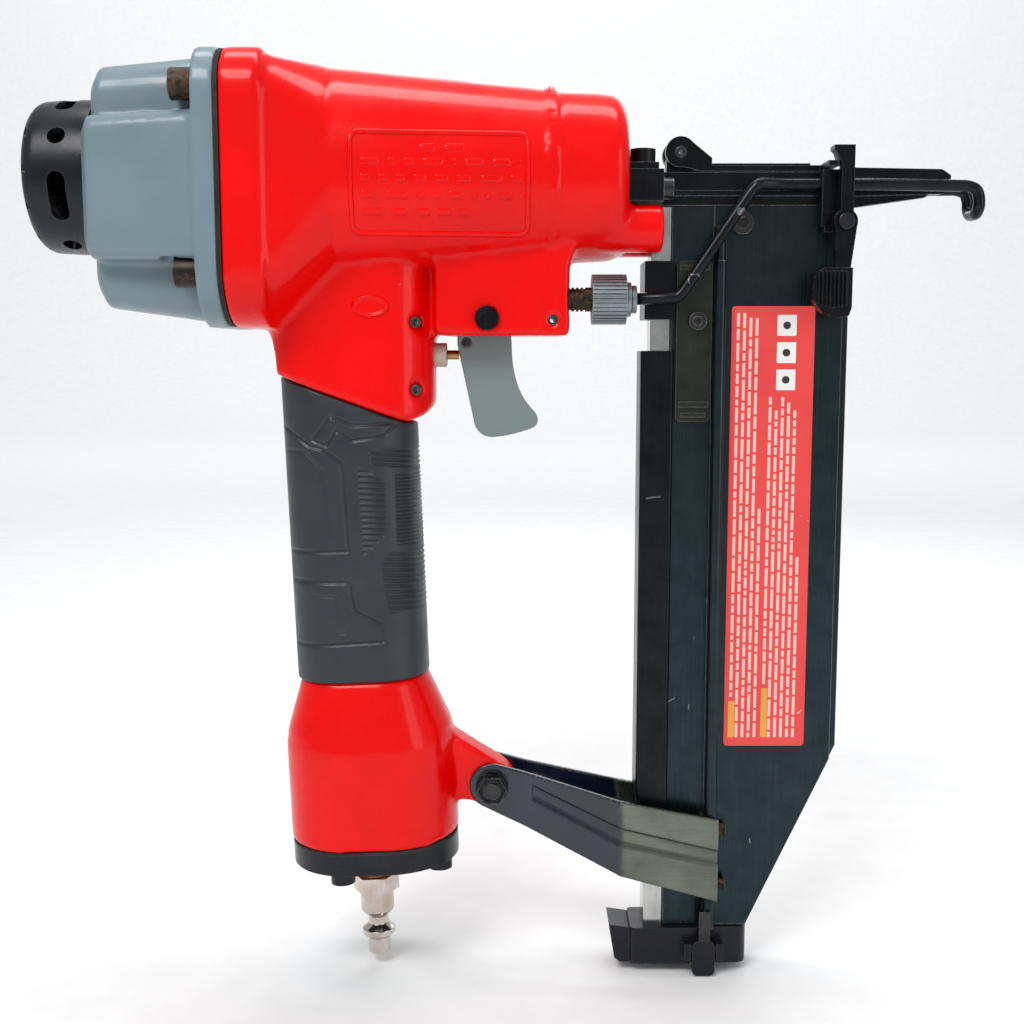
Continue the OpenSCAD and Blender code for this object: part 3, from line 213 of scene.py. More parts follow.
def tube(path, radii, sides=24, closed=False):
    """Points and faces of a tube: circles of the given radii stand square to the path, each
    turned from the last by as little as the path turns."""
    path = np.asarray(path, float)
    n = len(path)
    radii = np.broadcast_to(radii, n)
    ahead = np.roll(path, -1, 0) - np.roll(path, 1, 0)
    if not closed:
        ahead[0], ahead[-1] = path[1] - path[0], path[-1] - path[-2]
    ahead /= np.linalg.norm(ahead, axis=1)[:, None]
    side = np.cross(ahead[0], [0.31, 0.17, 0.94])
    sides_at = []
    for t in ahead:
        side = side - side.dot(t) * t
        side /= np.linalg.norm(side)
        sides_at.append(side)
    a = np.array(sides_at)
    b = np.cross(ahead, a)
    turn = np.linspace(0, 2 * math.pi, sides, endpoint=False)
    ring = a[:, None] * np.cos(turn)[:, None] + b[:, None] * np.sin(turn)[:, None]
    points = (path[:, None] + radii[:, None, None] * ring).reshape(-1, 3)
    faces = grid_faces(n, sides, closed, True)[:, ::-1].tolist()
    if not closed:
        faces.append(list(range(sides)))
        faces.append(list(range(n * sides - 1, (n - 1) * sides - 1, -1)))
    return points, faces


def eased(path, cut, steps=6):
    """The path with each corner replaced by a parabola that starts and ends cut away from it."""
    path = np.asarray(path, float)
    out = [path[0]]
    t = np.linspace(0, 1, steps + 1)[:, None]
    for before, here, after in zip(path[:-2], path[1:-1], path[2:]):
        a, b = before - here, after - here
        la, lb = np.linalg.norm(a), np.linalg.norm(b)
        d = min(cut, la * 0.45, lb * 0.45)
        start, end = here + a * d / la, here + b * d / lb
        out.extend((1 - t) ** 2 * start + 2 * t * (1 - t) * here + t ** 2 * end)
    out.append(path[-1])
    return np.array(out)


def copy_of_node(name, node, material):
    """An object whose mesh is the CAD node's, with the points that share a place merged."""
    work = bmesh.new()
    work.from_mesh(frame["nodes"][node].data)
    bmesh.ops.remove_doubles(work, verts=work.verts, dist=2e-6)
    bmesh.ops.dissolve_limit(work, angle_limit=math.radians(0.4), verts=work.verts,
                             edges=work.edges, delimit={"NORMAL"})
    for edge in work.edges:
        edge.smooth = len(edge.link_faces) == 2 and edge.calc_face_angle(0) < math.radians(32)
    for face in work.faces:
        face.smooth = True
    mesh = bpy.data.meshes.new(name)
    work.to_mesh(mesh)
    work.free()
    mesh.materials.append(material)
    piece = bpy.data.objects.new(name, mesh)
    bpy.context.scene.collection.objects.link(piece)
    return piece


def stand_for(piece, *nodes):
    """The piece replaces these nodes and rides on their body."""
    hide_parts(*nodes)
    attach(piece, BODY_OF[nodes[0]])
    return piece


def softened(node, material, edge=0.25, segments=2):
    """The CAD node with its sharp edges rounded by edge millimetres."""
    piece = copy_of_node(node + "_piece", node, material)
    bevel = piece.modifiers.new("rounded_edges", "BEVEL")
    bevel.limit_method = "ANGLE"
    bevel.angle_limit = math.radians(34)
    bevel.width = edge * MM
    bevel.segments = segments
    bevel.harden_normals = True
    return stand_for(piece, node)


def cast_skin(node, material, voxel, rounds):
    """The CAD node remade as an even skin of small squares and relaxed, which rounds its edges
    and hollows as a casting or moulding has them."""
    rough = copy_of_node(node + "_rough", node, material)
    remesh = rough.modifiers.new("even_skin", "REMESH")
    remesh.mode = "VOXEL"
    remesh.voxel_size = voxel * MM
    remesh.use_smooth_shade = True
    relax = rough.modifiers.new("relaxed", "SMOOTH")
    relax.factor = 0.5
    relax.iterations = rounds
    bpy.context.view_layer.update()
    ready = rough.evaluated_get(bpy.context.evaluated_depsgraph_get())
    mesh = bpy.data.meshes.new_from_object(ready)
    mesh.name = node + "_skin"
    bpy.data.objects.remove(rough)
    mesh.materials.clear()
    mesh.materials.append(material)
    mesh.polygons.foreach_set("use_smooth", np.ones(len(mesh.polygons), bool))
    piece = bpy.data.objects.new(node + "_skin", mesh)
    bpy.context.scene.collection.objects.link(piece)
    return piece


def points_of(piece):
    """The piece's points as an array."""
    co = np.empty(len(piece.data.vertices) * 3, np.float32)
    piece.data.vertices.foreach_get("co", co)
    return co.reshape(-1, 3).astype(float)


def set_points(piece, points):
    piece.data.vertices.foreach_set("co", points.astype(np.float32).ravel())
    piece.data.update()


def smooth_step(t):
    t = np.clip(t, 0, 1)
    return t * t * (3 - 2 * t)


# ---- Shader parts ----

def add(tree, kind, values=None, **settings):
    """A node with its settings, its input values, and links where a value is a socket."""
    made = tree.nodes.new(kind)
    for key, value in settings.items():
        setattr(made, key, value)
    for key, value in (values or {}).items():
        if isinstance(value, bpy.types.NodeSocket):
            tree.links.new(value, made.inputs[key])
        else:
            made.inputs[key].default_value = value
    return made


def maths(tree, operation, a, b=0.0, clamp=False):
    return add(tree, "ShaderNodeMath", {0: a, 1: b}, operation=operation, use_clamp=clamp).outputs[0]


def fade(tree, value, low, high, to_low=0.0, to_high=1.0):
    """The value carried from the range low to high onto 0 to 1, clamped, with soft ends."""
    made = add(tree, "ShaderNodeMapRange", {
        "Value": value, "From Min": low, "From Max": high, "To Min": to_low, "To Max": to_high},
        interpolation_type="SMOOTHSTEP")
    return made.outputs["Result"]


def blend(tree, factor, a, b):
    """Colour between a and b by a factor."""
    mix = tree.nodes.new("ShaderNodeMix")
    mix.data_type = "RGBA"
    for socket, value in ((mix.inputs[0], factor), (mix.inputs[6], a), (mix.inputs[7], b)):
        if isinstance(value, bpy.types.NodeSocket):
            tree.links.new(value, socket)
        else:
            socket.default_value = value
    return mix.outputs[2]


def noise(tree, where, scale, detail=3.0, roughness=0.55):
    """Fractal noise at places given by a vector socket; scale is in cells per metre."""
    made = add(tree, "ShaderNodeTexNoise", {
        "Vector": where, "Scale": scale, "Detail": detail, "Roughness": roughness})
    return made.outputs["Fac"]


def group(name, inputs, outputs):
    """An empty shader node group with number inputs (name: default) and named outputs."""
    tree = bpy.data.node_groups.new(name, "ShaderNodeTree")
    for key, default in inputs.items():
        socket = tree.interface.new_socket(name=key, in_out="INPUT", socket_type="NodeSocketFloat")
        socket.default_value = default
    for key in outputs:
        tree.interface.new_socket(name=key, in_out="OUTPUT", socket_type="NodeSocketFloat")
    return tree, tree.nodes.new("NodeGroupInput"), tree.nodes.new("NodeGroupOutput")


def place_of(tree):
    """Object coordinates."""
    return tree.nodes.new("ShaderNodeTexCoord").outputs["Object"]


def edge_wear_group():
    """Mask of edges where a finish has rubbed through: the rounded normal leaves the plain one
    there, and noise breaks the line up."""
    tree, given, out = group("edge_wear", {"Reach": 0.0008, "Amount": 0.5, "Scale": 400.0}, ["Mask"])
    rounded = add(tree, "ShaderNodeBevel", {"Radius": given.outputs["Reach"]}, samples=4)
    plain = tree.nodes.new("ShaderNodeNewGeometry")
    dot = add(tree, "ShaderNodeVectorMath", {
        0: rounded.outputs["Normal"], 1: plain.outputs["Normal"]}, operation="DOT_PRODUCT")
    edge = maths(tree, "SUBTRACT", 1.0, dot.outputs["Value"])
    cloud = noise(tree, place_of(tree), given.outputs["Scale"], 4.0, 0.65)
    want = maths(tree, "MULTIPLY", edge, 3.0)
    want = maths(tree, "ADD", want, maths(tree, "SUBTRACT", cloud, 0.5))
    level = maths(tree, "SUBTRACT", 1.0, given.outputs["Amount"])
    lift = maths(tree, "SUBTRACT", want, level)
    tree.links.new(fade(tree, lift, 0.0, 0.12), out.inputs["Mask"])
    return tree


def chip_group():
    """Mask of scattered small chips: cells of noise above a level, broken by finer noise."""
    tree, given, out = group("chips", {"Scale": 160.0, "Level": 0.72}, ["Mask"])
    where = place_of(tree)
    large = noise(tree, where, given.outputs["Scale"], 2.0, 0.5)
    fine = noise(tree, where, maths(tree, "MULTIPLY", given.outputs["Scale"], 6.0), 2.0, 0.6)
    both = maths(tree, "ADD", large, maths(tree, "MULTIPLY", maths(tree, "SUBTRACT", fine, 0.5), 0.22))
    above = maths(tree, "SUBTRACT", both, given.outputs["Level"])
    tree.links.new(fade(tree, above, 0.0, 0.015), out.inputs["Mask"])
    return tree


def grain_group():
    """Height of a cast or moulded skin: a fine pebble over a broad wave."""
    tree, given, out = group("grain", {"Scale": 1500.0, "Wave": 0.4}, ["Height"])
    where = place_of(tree)
    fine = noise(tree, where, given.outputs["Scale"], 2.0, 0.5)
    broad = noise(tree, where, maths(tree, "MULTIPLY", given.outputs["Scale"], 0.08), 2.0, 0.5)
    tree.links.new(maths(tree, "ADD", fine, maths(tree, "MULTIPLY", broad, given.outputs["Wave"])),
                   out.inputs["Height"])
    return tree


def brushed_group():
    """Streaks along X, Y or Z: noise squeezed across the chosen run, from 0 to 1."""
    tree, given, out = group("brushed", {"Along X": 1.0, "Along Y": 1.0, "Along Z": 0.02,
                                         "Scale": 2500.0}, ["Streak"])
    stretch = add(tree, "ShaderNodeCombineXYZ", {
        "X": given.outputs["Along X"], "Y": given.outputs["Along Y"], "Z": given.outputs["Along Z"]})
    where = add(tree, "ShaderNodeVectorMath", {0: place_of(tree), 1: stretch.outputs[0]},
                operation="MULTIPLY")
    tree.links.new(noise(tree, where.outputs[0], given.outputs["Scale"], 3.0, 0.6),
                   out.inputs["Streak"])
    return tree


def scratch_group():
    """Mask of thin scratches: the narrow crests of two noises stretched along different runs."""
    tree, given, out = group("scratches", {"Scale": 60.0, "Width": 0.012, "Amount": 0.5}, ["Mask"])
    where = place_of(tree)
    masks = []
    for turn in ((1.0, 0.3, 0.25), (0.35, 0.8, 1.0)):
        bent = add(tree, "ShaderNodeVectorMath", {0: where, 1: turn}, operation="MULTIPLY").outputs[0]
        value = noise(tree, bent, given.outputs["Scale"], 1.0, 0.4)
        off = maths(tree, "ABSOLUTE", maths(tree, "SUBTRACT", value, 0.5))
        line = maths(tree, "LESS_THAN", off, given.outputs["Width"])
        masks.append(line)
    gate = noise(tree, where, 90.0, 2.0, 0.5)
    some = maths(tree, "GREATER_THAN", gate, maths(tree, "SUBTRACT", 1.0, given.outputs["Amount"]))
    either = maths(tree, "MAXIMUM", masks[0], masks[1])
    tree.links.new(maths(tree, "MULTIPLY", either, some), out.inputs["Mask"])
    return tree


EDGE_WEAR = edge_wear_group()
CHIPS = chip_group()
GRAIN = grain_group()
BRUSHED = brushed_group()
SCRATCHES = scratch_group()


def use(tree, made_group, output, **values):
    """The output of a shared group placed in a material, with its own values."""
    placed = tree.nodes.new("ShaderNodeGroup")
    placed.node_tree = made_group
    for key, value in values.items():
        placed.inputs[key.replace("_", " ")].default_value = value
    return placed.outputs[output]


def new_material(name):
    """A material with only an output and a Principled shader."""
    material = bpy.data.materials.new(name)
    material.use_nodes = True
    tree = material.node_tree
    tree.nodes.clear()
    out = tree.nodes.new("ShaderNodeOutputMaterial")
    shader = tree.nodes.new("ShaderNodeBsdfPrincipled")
    tree.links.new(shader.outputs[0], out.inputs["Surface"])
    return material, tree, shader


def bump(tree, shader, height, distance, strength=1.0):
    """Feeds a height into the shader's normal; distance is its full depth in metres."""
    made = add(tree, "ShaderNodeBump", {
        "Height": height, "Distance": distance, "Strength": strength})
    tree.links.new(made.outputs["Normal"], shader.inputs["Normal"])


def rgba(colour):
    return (*colour, 1.0)


def mottled(tree, base, shade, scale, spread=0.5):
    """Base colour drifting towards a shade in soft patches."""
    cloud = noise(tree, place_of(tree), scale, 4.0, 0.6)
    factor = fade(tree, cloud, 0.5 - spread / 2, 0.5 + spread / 2)
    return blend(tree, factor, rgba(base), rgba(shade))


# ---- Finishes ----
# Colours are linear. Rough, coat, wear, dusty and gleam are shares from 0 to 1.

def painted(name, base, shade, under, rough=0.3, coat=0.5, wear=0.45, chips=0.74,
            grain=0.00005, metal_under=1.0, gleam=0.5):
    """Paint over metal: soft colour drift, orange-peel, worn edges and small chips."""
    material, tree, shader = new_material(name)
    worn = use(tree, EDGE_WEAR, "Mask", Reach=0.0007, Amount=wear, Scale=420.0)
    chipped = use(tree, CHIPS, "Mask", Scale=70.0, Level=chips)
    bare = maths(tree, "MAXIMUM", worn, chipped)
    paint = mottled(tree, base, shade, 22.0)
    tree.links.new(blend(tree, bare, paint, rgba(under)), shader.inputs["Base Color"])
    tree.links.new(maths(tree, "MULTIPLY", bare, metal_under), shader.inputs["Metallic"])
    patch = noise(tree, place_of(tree), 60.0, 4.0, 0.6)
    gloss = fade(tree, patch, 0.3, 0.75, rough * 0.8, rough * 1.35)
    tree.links.new(maths(tree, "ADD", gloss, maths(tree, "MULTIPLY", bare, 0.2)),
                   shader.inputs["Roughness"])
    tree.links.new(maths(tree, "MULTIPLY", maths(tree, "SUBTRACT", 1.0, bare), coat),
                   shader.inputs["Coat Weight"])
    shader.inputs["Coat Roughness"].default_value = 0.08
    shader.inputs["Specular IOR Level"].default_value = gleam
    skin = use(tree, GRAIN, "Height", Scale=900.0, Wave=1.5)
    bump(tree, shader, maths(tree, "SUBTRACT", skin, bare), grain)
    return material


def metal(name, base, shade, rough=0.35, streak=None, rust=0.0, rust_colour=(0.16, 0.06, 0.025),
          wear=0.0, bright=(0.55, 0.55, 0.54), metallic=1.0, scratch=0.3):
    """Bare or plated metal: patches, streaks along one run, scratches, rust and bright edges."""
    material, tree, shader = new_material(name)
    colour = mottled(tree, base, shade, 120.0)
    streaks = use(tree, BRUSHED, "Streak", **(streak or {}))
    colour = blend(tree, fade(tree, streaks, 0.35, 0.7, 0.0, 0.35), colour, rgba(shade))
    metallic_now = metallic
    if wear:
        worn = use(tree, EDGE_WEAR, "Mask", Reach=0.0005, Amount=wear, Scale=600.0)
        marks = use(tree, SCRATCHES, "Mask", Scale=70.0, Width=0.006, Amount=scratch)
        shown = maths(tree, "MAXIMUM", worn, maths(tree, "MULTIPLY", marks, 0.5))
        colour = blend(tree, shown, colour, rgba(bright))
    if rust:
        spots = noise(tree, place_of(tree), 350.0, 5.0, 0.7)
        eaten = fade(tree, spots, 0.75 - rust * 0.5, 0.85 - rust * 0.5)
        colour = blend(tree, eaten, colour, rgba(rust_colour))
        metallic_now = maths(tree, "SUBTRACT", metallic, maths(tree, "MULTIPLY", eaten, 0.8), True)
        tree.links.new(metallic_now, shader.inputs["Metallic"])
        roughness = maths(tree, "ADD", maths(tree, "MULTIPLY", eaten, 0.4), rough)
    else:
        shader.inputs["Metallic"].default_value = metallic
        roughness = fade(tree, streaks, 0.3, 0.7, rough * 0.75, rough * 1.3)
    tree.links.new(colour, shader.inputs["Base Color"])
    tree.links.new(roughness, shader.inputs["Roughness"])
    bump(tree, shader, streaks, 0.00001)
    return material


def moulded(name, base, shade, rough=0.5, grain=0.00006, scale=2200.0, dust=(0.3, 0.3, 0.28),
            dusty=0.12, wear=0.25, gleam=0.3):
    """Plastic or rubber: pebbled skin, scuffed edges and a little dust in patches."""
    material, tree, shader = new_material(name)
    shader.inputs["Specular IOR Level"].default_value = gleam
    colour = mottled(tree, base, shade, 60.0)
    worn = use(tree, EDGE_WEAR, "Mask", Reach=0.0006, Amount=wear, Scale=500.0)
    cloud = noise(tree, place_of(tree), 35.0, 5.0, 0.7)
    film = fade(tree, cloud, 0.52, 0.8, 0.0, dusty)
    colour = blend(tree, maths(tree, "MAXIMUM", film, maths(tree, "MULTIPLY", worn, 0.25)),
                   colour, rgba(dust))
    tree.links.new(colour, shader.inputs["Base Color"])
    patch = noise(tree, place_of(tree), 90.0, 3.0, 0.6)
    tree.links.new(fade(tree, patch, 0.3, 0.7, rough * 0.85, rough * 1.2), shader.inputs["Roughness"])
    bump(tree, shader, use(tree, GRAIN, "Height", Scale=scale, Wave=0.6), grain)
    return material


def worn_to_steel(name, navy, steel, split):
    """Gloss enamel on one side of x = split; past it, bare blued steel with soft streaks."""
    material, tree, shader = new_material(name)
    where = place_of(tree)
    x = add(tree, "ShaderNodeSeparateXYZ", {0: where}).outputs["X"]
    ragged = maths(tree, "MULTIPLY", maths(tree, "SUBTRACT", noise(tree, where, 250.0), 0.5), 0.004)
    bare = fade(tree, maths(tree, "ADD", x, ragged), split - 0.001, split + 0.002)
    worn = use(tree, EDGE_WEAR, "Mask", Reach=0.0006, Amount=0.42, Scale=500.0)
    streaks = use(tree, BRUSHED, "Streak", Along_X=0.05, Along_Z=1.0, Scale=1800.0)
    patches = fade(tree, noise(tree, where, 60.0, 3.0, 0.55), 0.3, 0.75)
    plain = blend(tree, patches, rgba(steel), rgba([c * 0.7 for c in steel]))
    plain = blend(tree, fade(tree, streaks, 0.4, 0.7, 0.0, 0.4), plain, rgba([c * 0.6 for c in steel]))
    enamel = mottled(tree, navy, [c * 0.6 for c in navy], 40.0)
    colour = blend(tree, bare, enamel, plain)
    colour = blend(tree, maths(tree, "MULTIPLY", worn, 0.8), colour, (0.42, 0.43, 0.40, 1))
    tree.links.new(colour, shader.inputs["Base Color"])
    tree.links.new(maths(tree, "MAXIMUM", maths(tree, "MULTIPLY", bare, 0.95), worn),
                   shader.inputs["Metallic"])
    tree.links.new(maths(tree, "MULTIPLY", maths(tree, "SUBTRACT", 1.0, bare), 0.5),
                   shader.inputs["Coat Weight"])
    shader.inputs["Coat Roughness"].default_value = 0.12
    tree.links.new(fade(tree, patches, 0.0, 1.0, 0.24, 0.4), shader.inputs["Roughness"])
    bump(tree, shader, streaks, 0.00001)
    return material


def vinyl(name, base, shade):
    """Printed vinyl: even colour, slight scuffs and a soft sheen."""
    material, tree, shader = new_material(name)
    marks = use(tree, SCRATCHES, "Mask", Scale=90.0, Width=0.004, Amount=0.35)
    colour = mottled(tree, base, shade, 45.0)
    colour = blend(tree, maths(tree, "MULTIPLY", marks, 0.5), colour, (0.75, 0.6, 0.58, 1))
    tree.links.new(colour, shader.inputs["Base Color"])
    patch = noise(tree, place_of(tree), 80.0, 3.0, 0.6)
    tree.links.new(fade(tree, patch, 0.3, 0.7, 0.28, 0.5), shader.inputs["Roughness"])
    bump(tree, shader, use(tree, GRAIN, "Height", Scale=1200.0, Wave=1.0), 0.00002)
    return material


ALONG_X = {"Along_X": 0.02, "Along_Z": 1.0}
ALONG_Z = {"Along_Z": 0.015}
FLOOR = moulded("floor_sheet", (0.88, 0.885, 0.89), (0.84, 0.845, 0.85), 0.8, 0.00002, 600.0, dusty=0.0)
RED = painted("red_paint", (0.84, 0.0, 0.0), (0.68, 0.0, 0.0), (0.38, 0.38, 0.37),
              rough=0.28, coat=0.22, wear=0.38, chips=0.80, gleam=0.12)
GREY = painted("cap_paint", (0.155, 0.222, 0.255), (0.13, 0.195, 0.228), (0.42, 0.42, 0.41),
               rough=0.42, coat=0.25, wear=0.34, chips=0.77)
TRIGGER_PAINT = painted("trigger_paint", (0.17, 0.215, 0.215), (0.145, 0.19, 0.19),
                        (0.4, 0.4, 0.38), rough=0.45, coat=0.2, wear=0.35, chips=0.78)
GRIP = moulded("grip_rubber", (0.017, 0.023, 0.029), (0.012, 0.018, 0.023), 0.42, 0.00004, 2600.0,
               dusty=0.04, gleam=0.5)
BLACK_PLASTIC = moulded("black_plastic", (0.006, 0.007, 0.011), (0.004, 0.005, 0.008), 0.3,
                        0.00003, 2600.0, dusty=0.03)
GASKET = moulded("gasket_rubber", (0.012, 0.012, 0.012), (0.02, 0.018, 0.016), 0.75)
SEAL = moulded("seal_rubber", (0.014, 0.014, 0.014), (0.01, 0.01, 0.01), 0.55, dusty=0.0)
BUMPER = moulded("bumper_rubber", (0.42, 0.27, 0.08), (0.36, 0.22, 0.06), 0.5, dusty=0.0)
WHITE_PLASTIC = moulded("valve_plastic", (0.62, 0.60, 0.52), (0.45, 0.42, 0.33), 0.5,
                        dust=(0.1, 0.08, 0.06), dusty=0.5)
BLACK_STEEL = metal("black_steel", (0.014, 0.016, 0.019), (0.007, 0.008, 0.010), 0.3,
                    wear=0.38, metallic=0.8, bright=(0.32, 0.33, 0.34))
WIRE_STEEL = metal("wire_steel", (0.018, 0.021, 0.024), (0.01, 0.012, 0.014), 0.26,
                   wear=0.2, metallic=0.8, bright=(0.3, 0.3, 0.3), scratch=0.4)
DARK_STEEL = metal("dark_steel", (0.07, 0.07, 0.072), (0.035, 0.035, 0.036), 0.36, wear=0.4,
                   rust=0.14)
BRIGHT_STEEL = metal("bright_steel", (0.62, 0.63, 0.62), (0.40, 0.41, 0.40), 0.2, streak=ALONG_Z,
                     rust=0.1, rust_colour=(0.2, 0.15, 0.1))
SPRING_STEEL = metal("spring_steel", (0.4, 0.4, 0.41), (0.25, 0.25, 0.26), 0.3)
ZINC = metal("zinc_steel", (0.27, 0.31, 0.335), (0.17, 0.20, 0.22), 0.42, wear=0.42,
             bright=(0.5, 0.52, 0.54), metallic=0.85)
RUSTY = metal("rusty_steel", (0.05, 0.042, 0.036), (0.025, 0.018, 0.014), 0.45, rust=0.5, wear=0.2,
              rust_colour=(0.09, 0.042, 0.018), bright=(0.35, 0.3, 0.26))
OLIVE = metal("olive_steel", (0.040, 0.045, 0.032), (0.02, 0.023, 0.018), 0.3, wear=0.4,
              metallic=0.7, bright=(0.3, 0.31, 0.28), rust=0.12)
ARM = worn_to_steel("arm_enamel", (0.004, 0.008, 0.024), (0.17, 0.19, 0.155),
                    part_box("near_arm")[0].x + 53 * MM)
ANODISED = metal("black_anodised", (0.026, 0.042, 0.048), (0.018, 0.030, 0.035), 0.3,
                 streak=ALONG_Z, wear=0.36, metallic=0.9, bright=(0.42, 0.44, 0.45), scratch=0.3)
ALUMINIUM = metal("bare_aluminium", (0.6, 0.6, 0.6), (0.45, 0.45, 0.45), 0.3, streak=ALONG_X)
BRASS = metal("brass", (0.5, 0.33, 0.12), (0.3, 0.18, 0.06), 0.35)
CHROME = metal("chrome_plate", (0.72, 0.69, 0.65), (0.50, 0.42, 0.36), 0.12, rust=0.08,
               rust_colour=(0.3, 0.2, 0.12))
COPPER = metal("copper", (0.5, 0.17, 0.07), (0.28, 0.09, 0.04), 0.4)
LABEL_RED = vinyl("label_red", (0.74, 0.055, 0.05), (0.68, 0.045, 0.042))
LABEL_WHITE = vinyl("label_white", (0.80, 0.78, 0.76), (0.72, 0.68, 0.66))
LABEL_PINK = vinyl("label_print", (0.80, 0.50, 0.46), (0.78, 0.44, 0.40))
LABEL_AMBER = vinyl("label_amber", (0.80, 0.36, 0.04), (0.72, 0.3, 0.03))
LABEL_BLACK = vinyl("label_black", (0.03, 0.02, 0.02), (0.05, 0.03, 0.03))


# ---- Casting ----

def barrel_radius(x):
    """Outer radius of the barrel at each x: a slow cone, a raised bead, and a round front edge."""
    s = (BARREL_FRONT - x) / MM
    r = np.interp(s, [0, 6, 24.5, 26, 27, 100], [27.6, 27.6, 28.6, 30.0, 29.2, 36.2])
    return r * MM


BARREL_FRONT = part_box("cylinder_sleeve")[1].x + 4 * MM


def make_casting():
    """Relaxed casting; the barrel's points are then drawn onto its true cone."""
    piece = cast_skin("body_casting", RED, 1.2, 7)
    p = points_of(piece)
    r = np.hypot(p[:, 1], p[:, 2])
    target = barrel_radius(p[:, 0])
    s = (BARREL_FRONT - p[:, 0]) / MM
    along = smooth_step((s - 8) / 3) * smooth_step((100 - s) / 6)
    near = smooth_step(1 - (np.abs(r - target) / MM - 0.35) / 0.5)
    scale = 1 + along * near * (target / np.maximum(r, 1e-6) - 1)
    p[:, 1] *= scale
    p[:, 2] *= scale
    set_points(piece, open_stud_bore(p))
    return stand_for(piece, "body_casting")


def open_stud_bore(p):
    """Points of the casting round the depth stud, moved out to a clear circle about its axis."""
    low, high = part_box("depth_stud")
    axis_y, axis_z = (low.y + high.y) / 2, (low.z + high.z) / 2
    clear = (high.z - low.z) / 2 + 0.25 * MM
    off = np.hypot(p[:, 1] - axis_y, p[:, 2] - axis_z)
    reach = (off < clear + 0.6 * MM) & (p[:, 0] > low.x - 9 * MM) & (p[:, 0] < high.x)
    scale = np.where(reach, np.maximum(clear / np.maximum(off, 1e-5), 1), 1)
    p[:, 1] = axis_y + (p[:, 1] - axis_y) * scale
    p[:, 2] = axis_z + (p[:, 2] - axis_z) * scale
    return p


def on_barrel(x, z, lift):
    """Points on the barrel's near side at x and z, lifted off it."""
    r = barrel_radius(x)
    y = -np.sqrt(r ** 2 - z ** 2)
    out = np.stack([np.zeros_like(x), y, z], -1) / r[..., None]
    return np.stack([x, y, z], -1) + lift[..., None] * out


def pillow_row(x0, x1, z0, z1, height, steps=(10, 6)):
    """A raised bar on the barrel: its height rises from its rim as a quarter round. Returns
    points and faces, with its rim sunk below the paint."""
    u = np.linspace(0, 1, steps[0])
    v = np.linspace(0, 1, steps[1])
    x = x0 + (x1 - x0) * u[:, None] + 0 * v
    z = z0 + (z1 - z0) * v + 0 * u[:, None]
    edge = np.minimum(np.minimum(u, 1 - u)[:, None] * (x1 - x0), np.minimum(v, 1 - v) * (z1 - z0))
    rise = np.sqrt(np.clip(edge / (0.45 * MM), 0, 1))
    lift = -0.35 * MM + (height + 0.35 * MM) * rise
    points = on_barrel(x, z, lift).reshape(-1, 3)
    return points, grid_faces(*steps)


def make_panel():
    """A raised frame on the barrel with rows of plain bars inside it."""
    x0, x1 = BARREL_FRONT - 89 * MM, BARREL_FRONT - 33.1 * MM
    z0, z1 = -20.6 * MM, 10.3 * MM
    corner, half, height = 2.6 * MM, 0.8 * MM, 0.75 * MM
    turn = np.linspace(0, math.pi / 2, 6)
    loop = []
    for cx, cz, a in ((x1 - corner, z1 - corner, 0), (x0 + corner, z1 - corner, 1),
                      (x0 + corner, z0 + corner, 2), (x1 - corner, z0 + corner, 3)):
        for t in turn + a * math.pi / 2:
            loop.append((cx + corner * math.cos(t), cz + corner * math.sin(t)))
    loop.append(loop[0])
    loop = np.array(loop)
    run = np.concatenate([[0], np.cumsum(np.linalg.norm(np.diff(loop, axis=0), axis=1))])
    n = 260
    s = np.linspace(0, run[-1], n, endpoint=False)
    xz = np.stack([np.interp(s, run, loop[:, 0]), np.interp(s, run, loop[:, 1])], -1)
    ahead = np.roll(xz, -1, 0) - np.roll(xz, 1, 0)
    ahead /= np.linalg.norm(ahead, axis=1)[:, None]
    side = np.stack([ahead[:, 1], -ahead[:, 0]], -1)
    t = np.linspace(0, 2 * math.pi, 12, endpoint=False)
    across = half * np.cos(t)
    lift = height * np.sin(t)
    q = xz[:, None] + across[None, :, None] * side[:, None]
    points = on_barrel(q[..., 0], q[..., 1], np.broadcast_to(lift, q.shape[:2]))
    parts = [(points.reshape(-1, 3), grid_faces(n, 12, True, True))]
    rows = [(7.2, 3.4, 0.36, 0.66)] + [(2.6 - 5.1 * k, 2.9, 0.03, 0.97) for k in range(4)]
    for number, (top, tall, start, end) in enumerate(rows):
        at, stop = x0 + start * (x1 - x0), x0 + end * (x1 - x0)
        if number == 4:
            stop = x0 + 0.7 * (x1 - x0)
        while at < stop - 2 * MM:
            word = rng.uniform(3.0, 9.0) * MM
            word = min(word, stop - at)
            parts.append(pillow_row(at + 1.2 * MM, at + word, (top - tall) * MM, top * MM, 0.32 * MM))
            at += word + 0.9 * MM
    points, faces = joined(parts)
    piece = mesh_piece("barrel_panel", points, faces, RED)
    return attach(face_outward(piece), "housing")


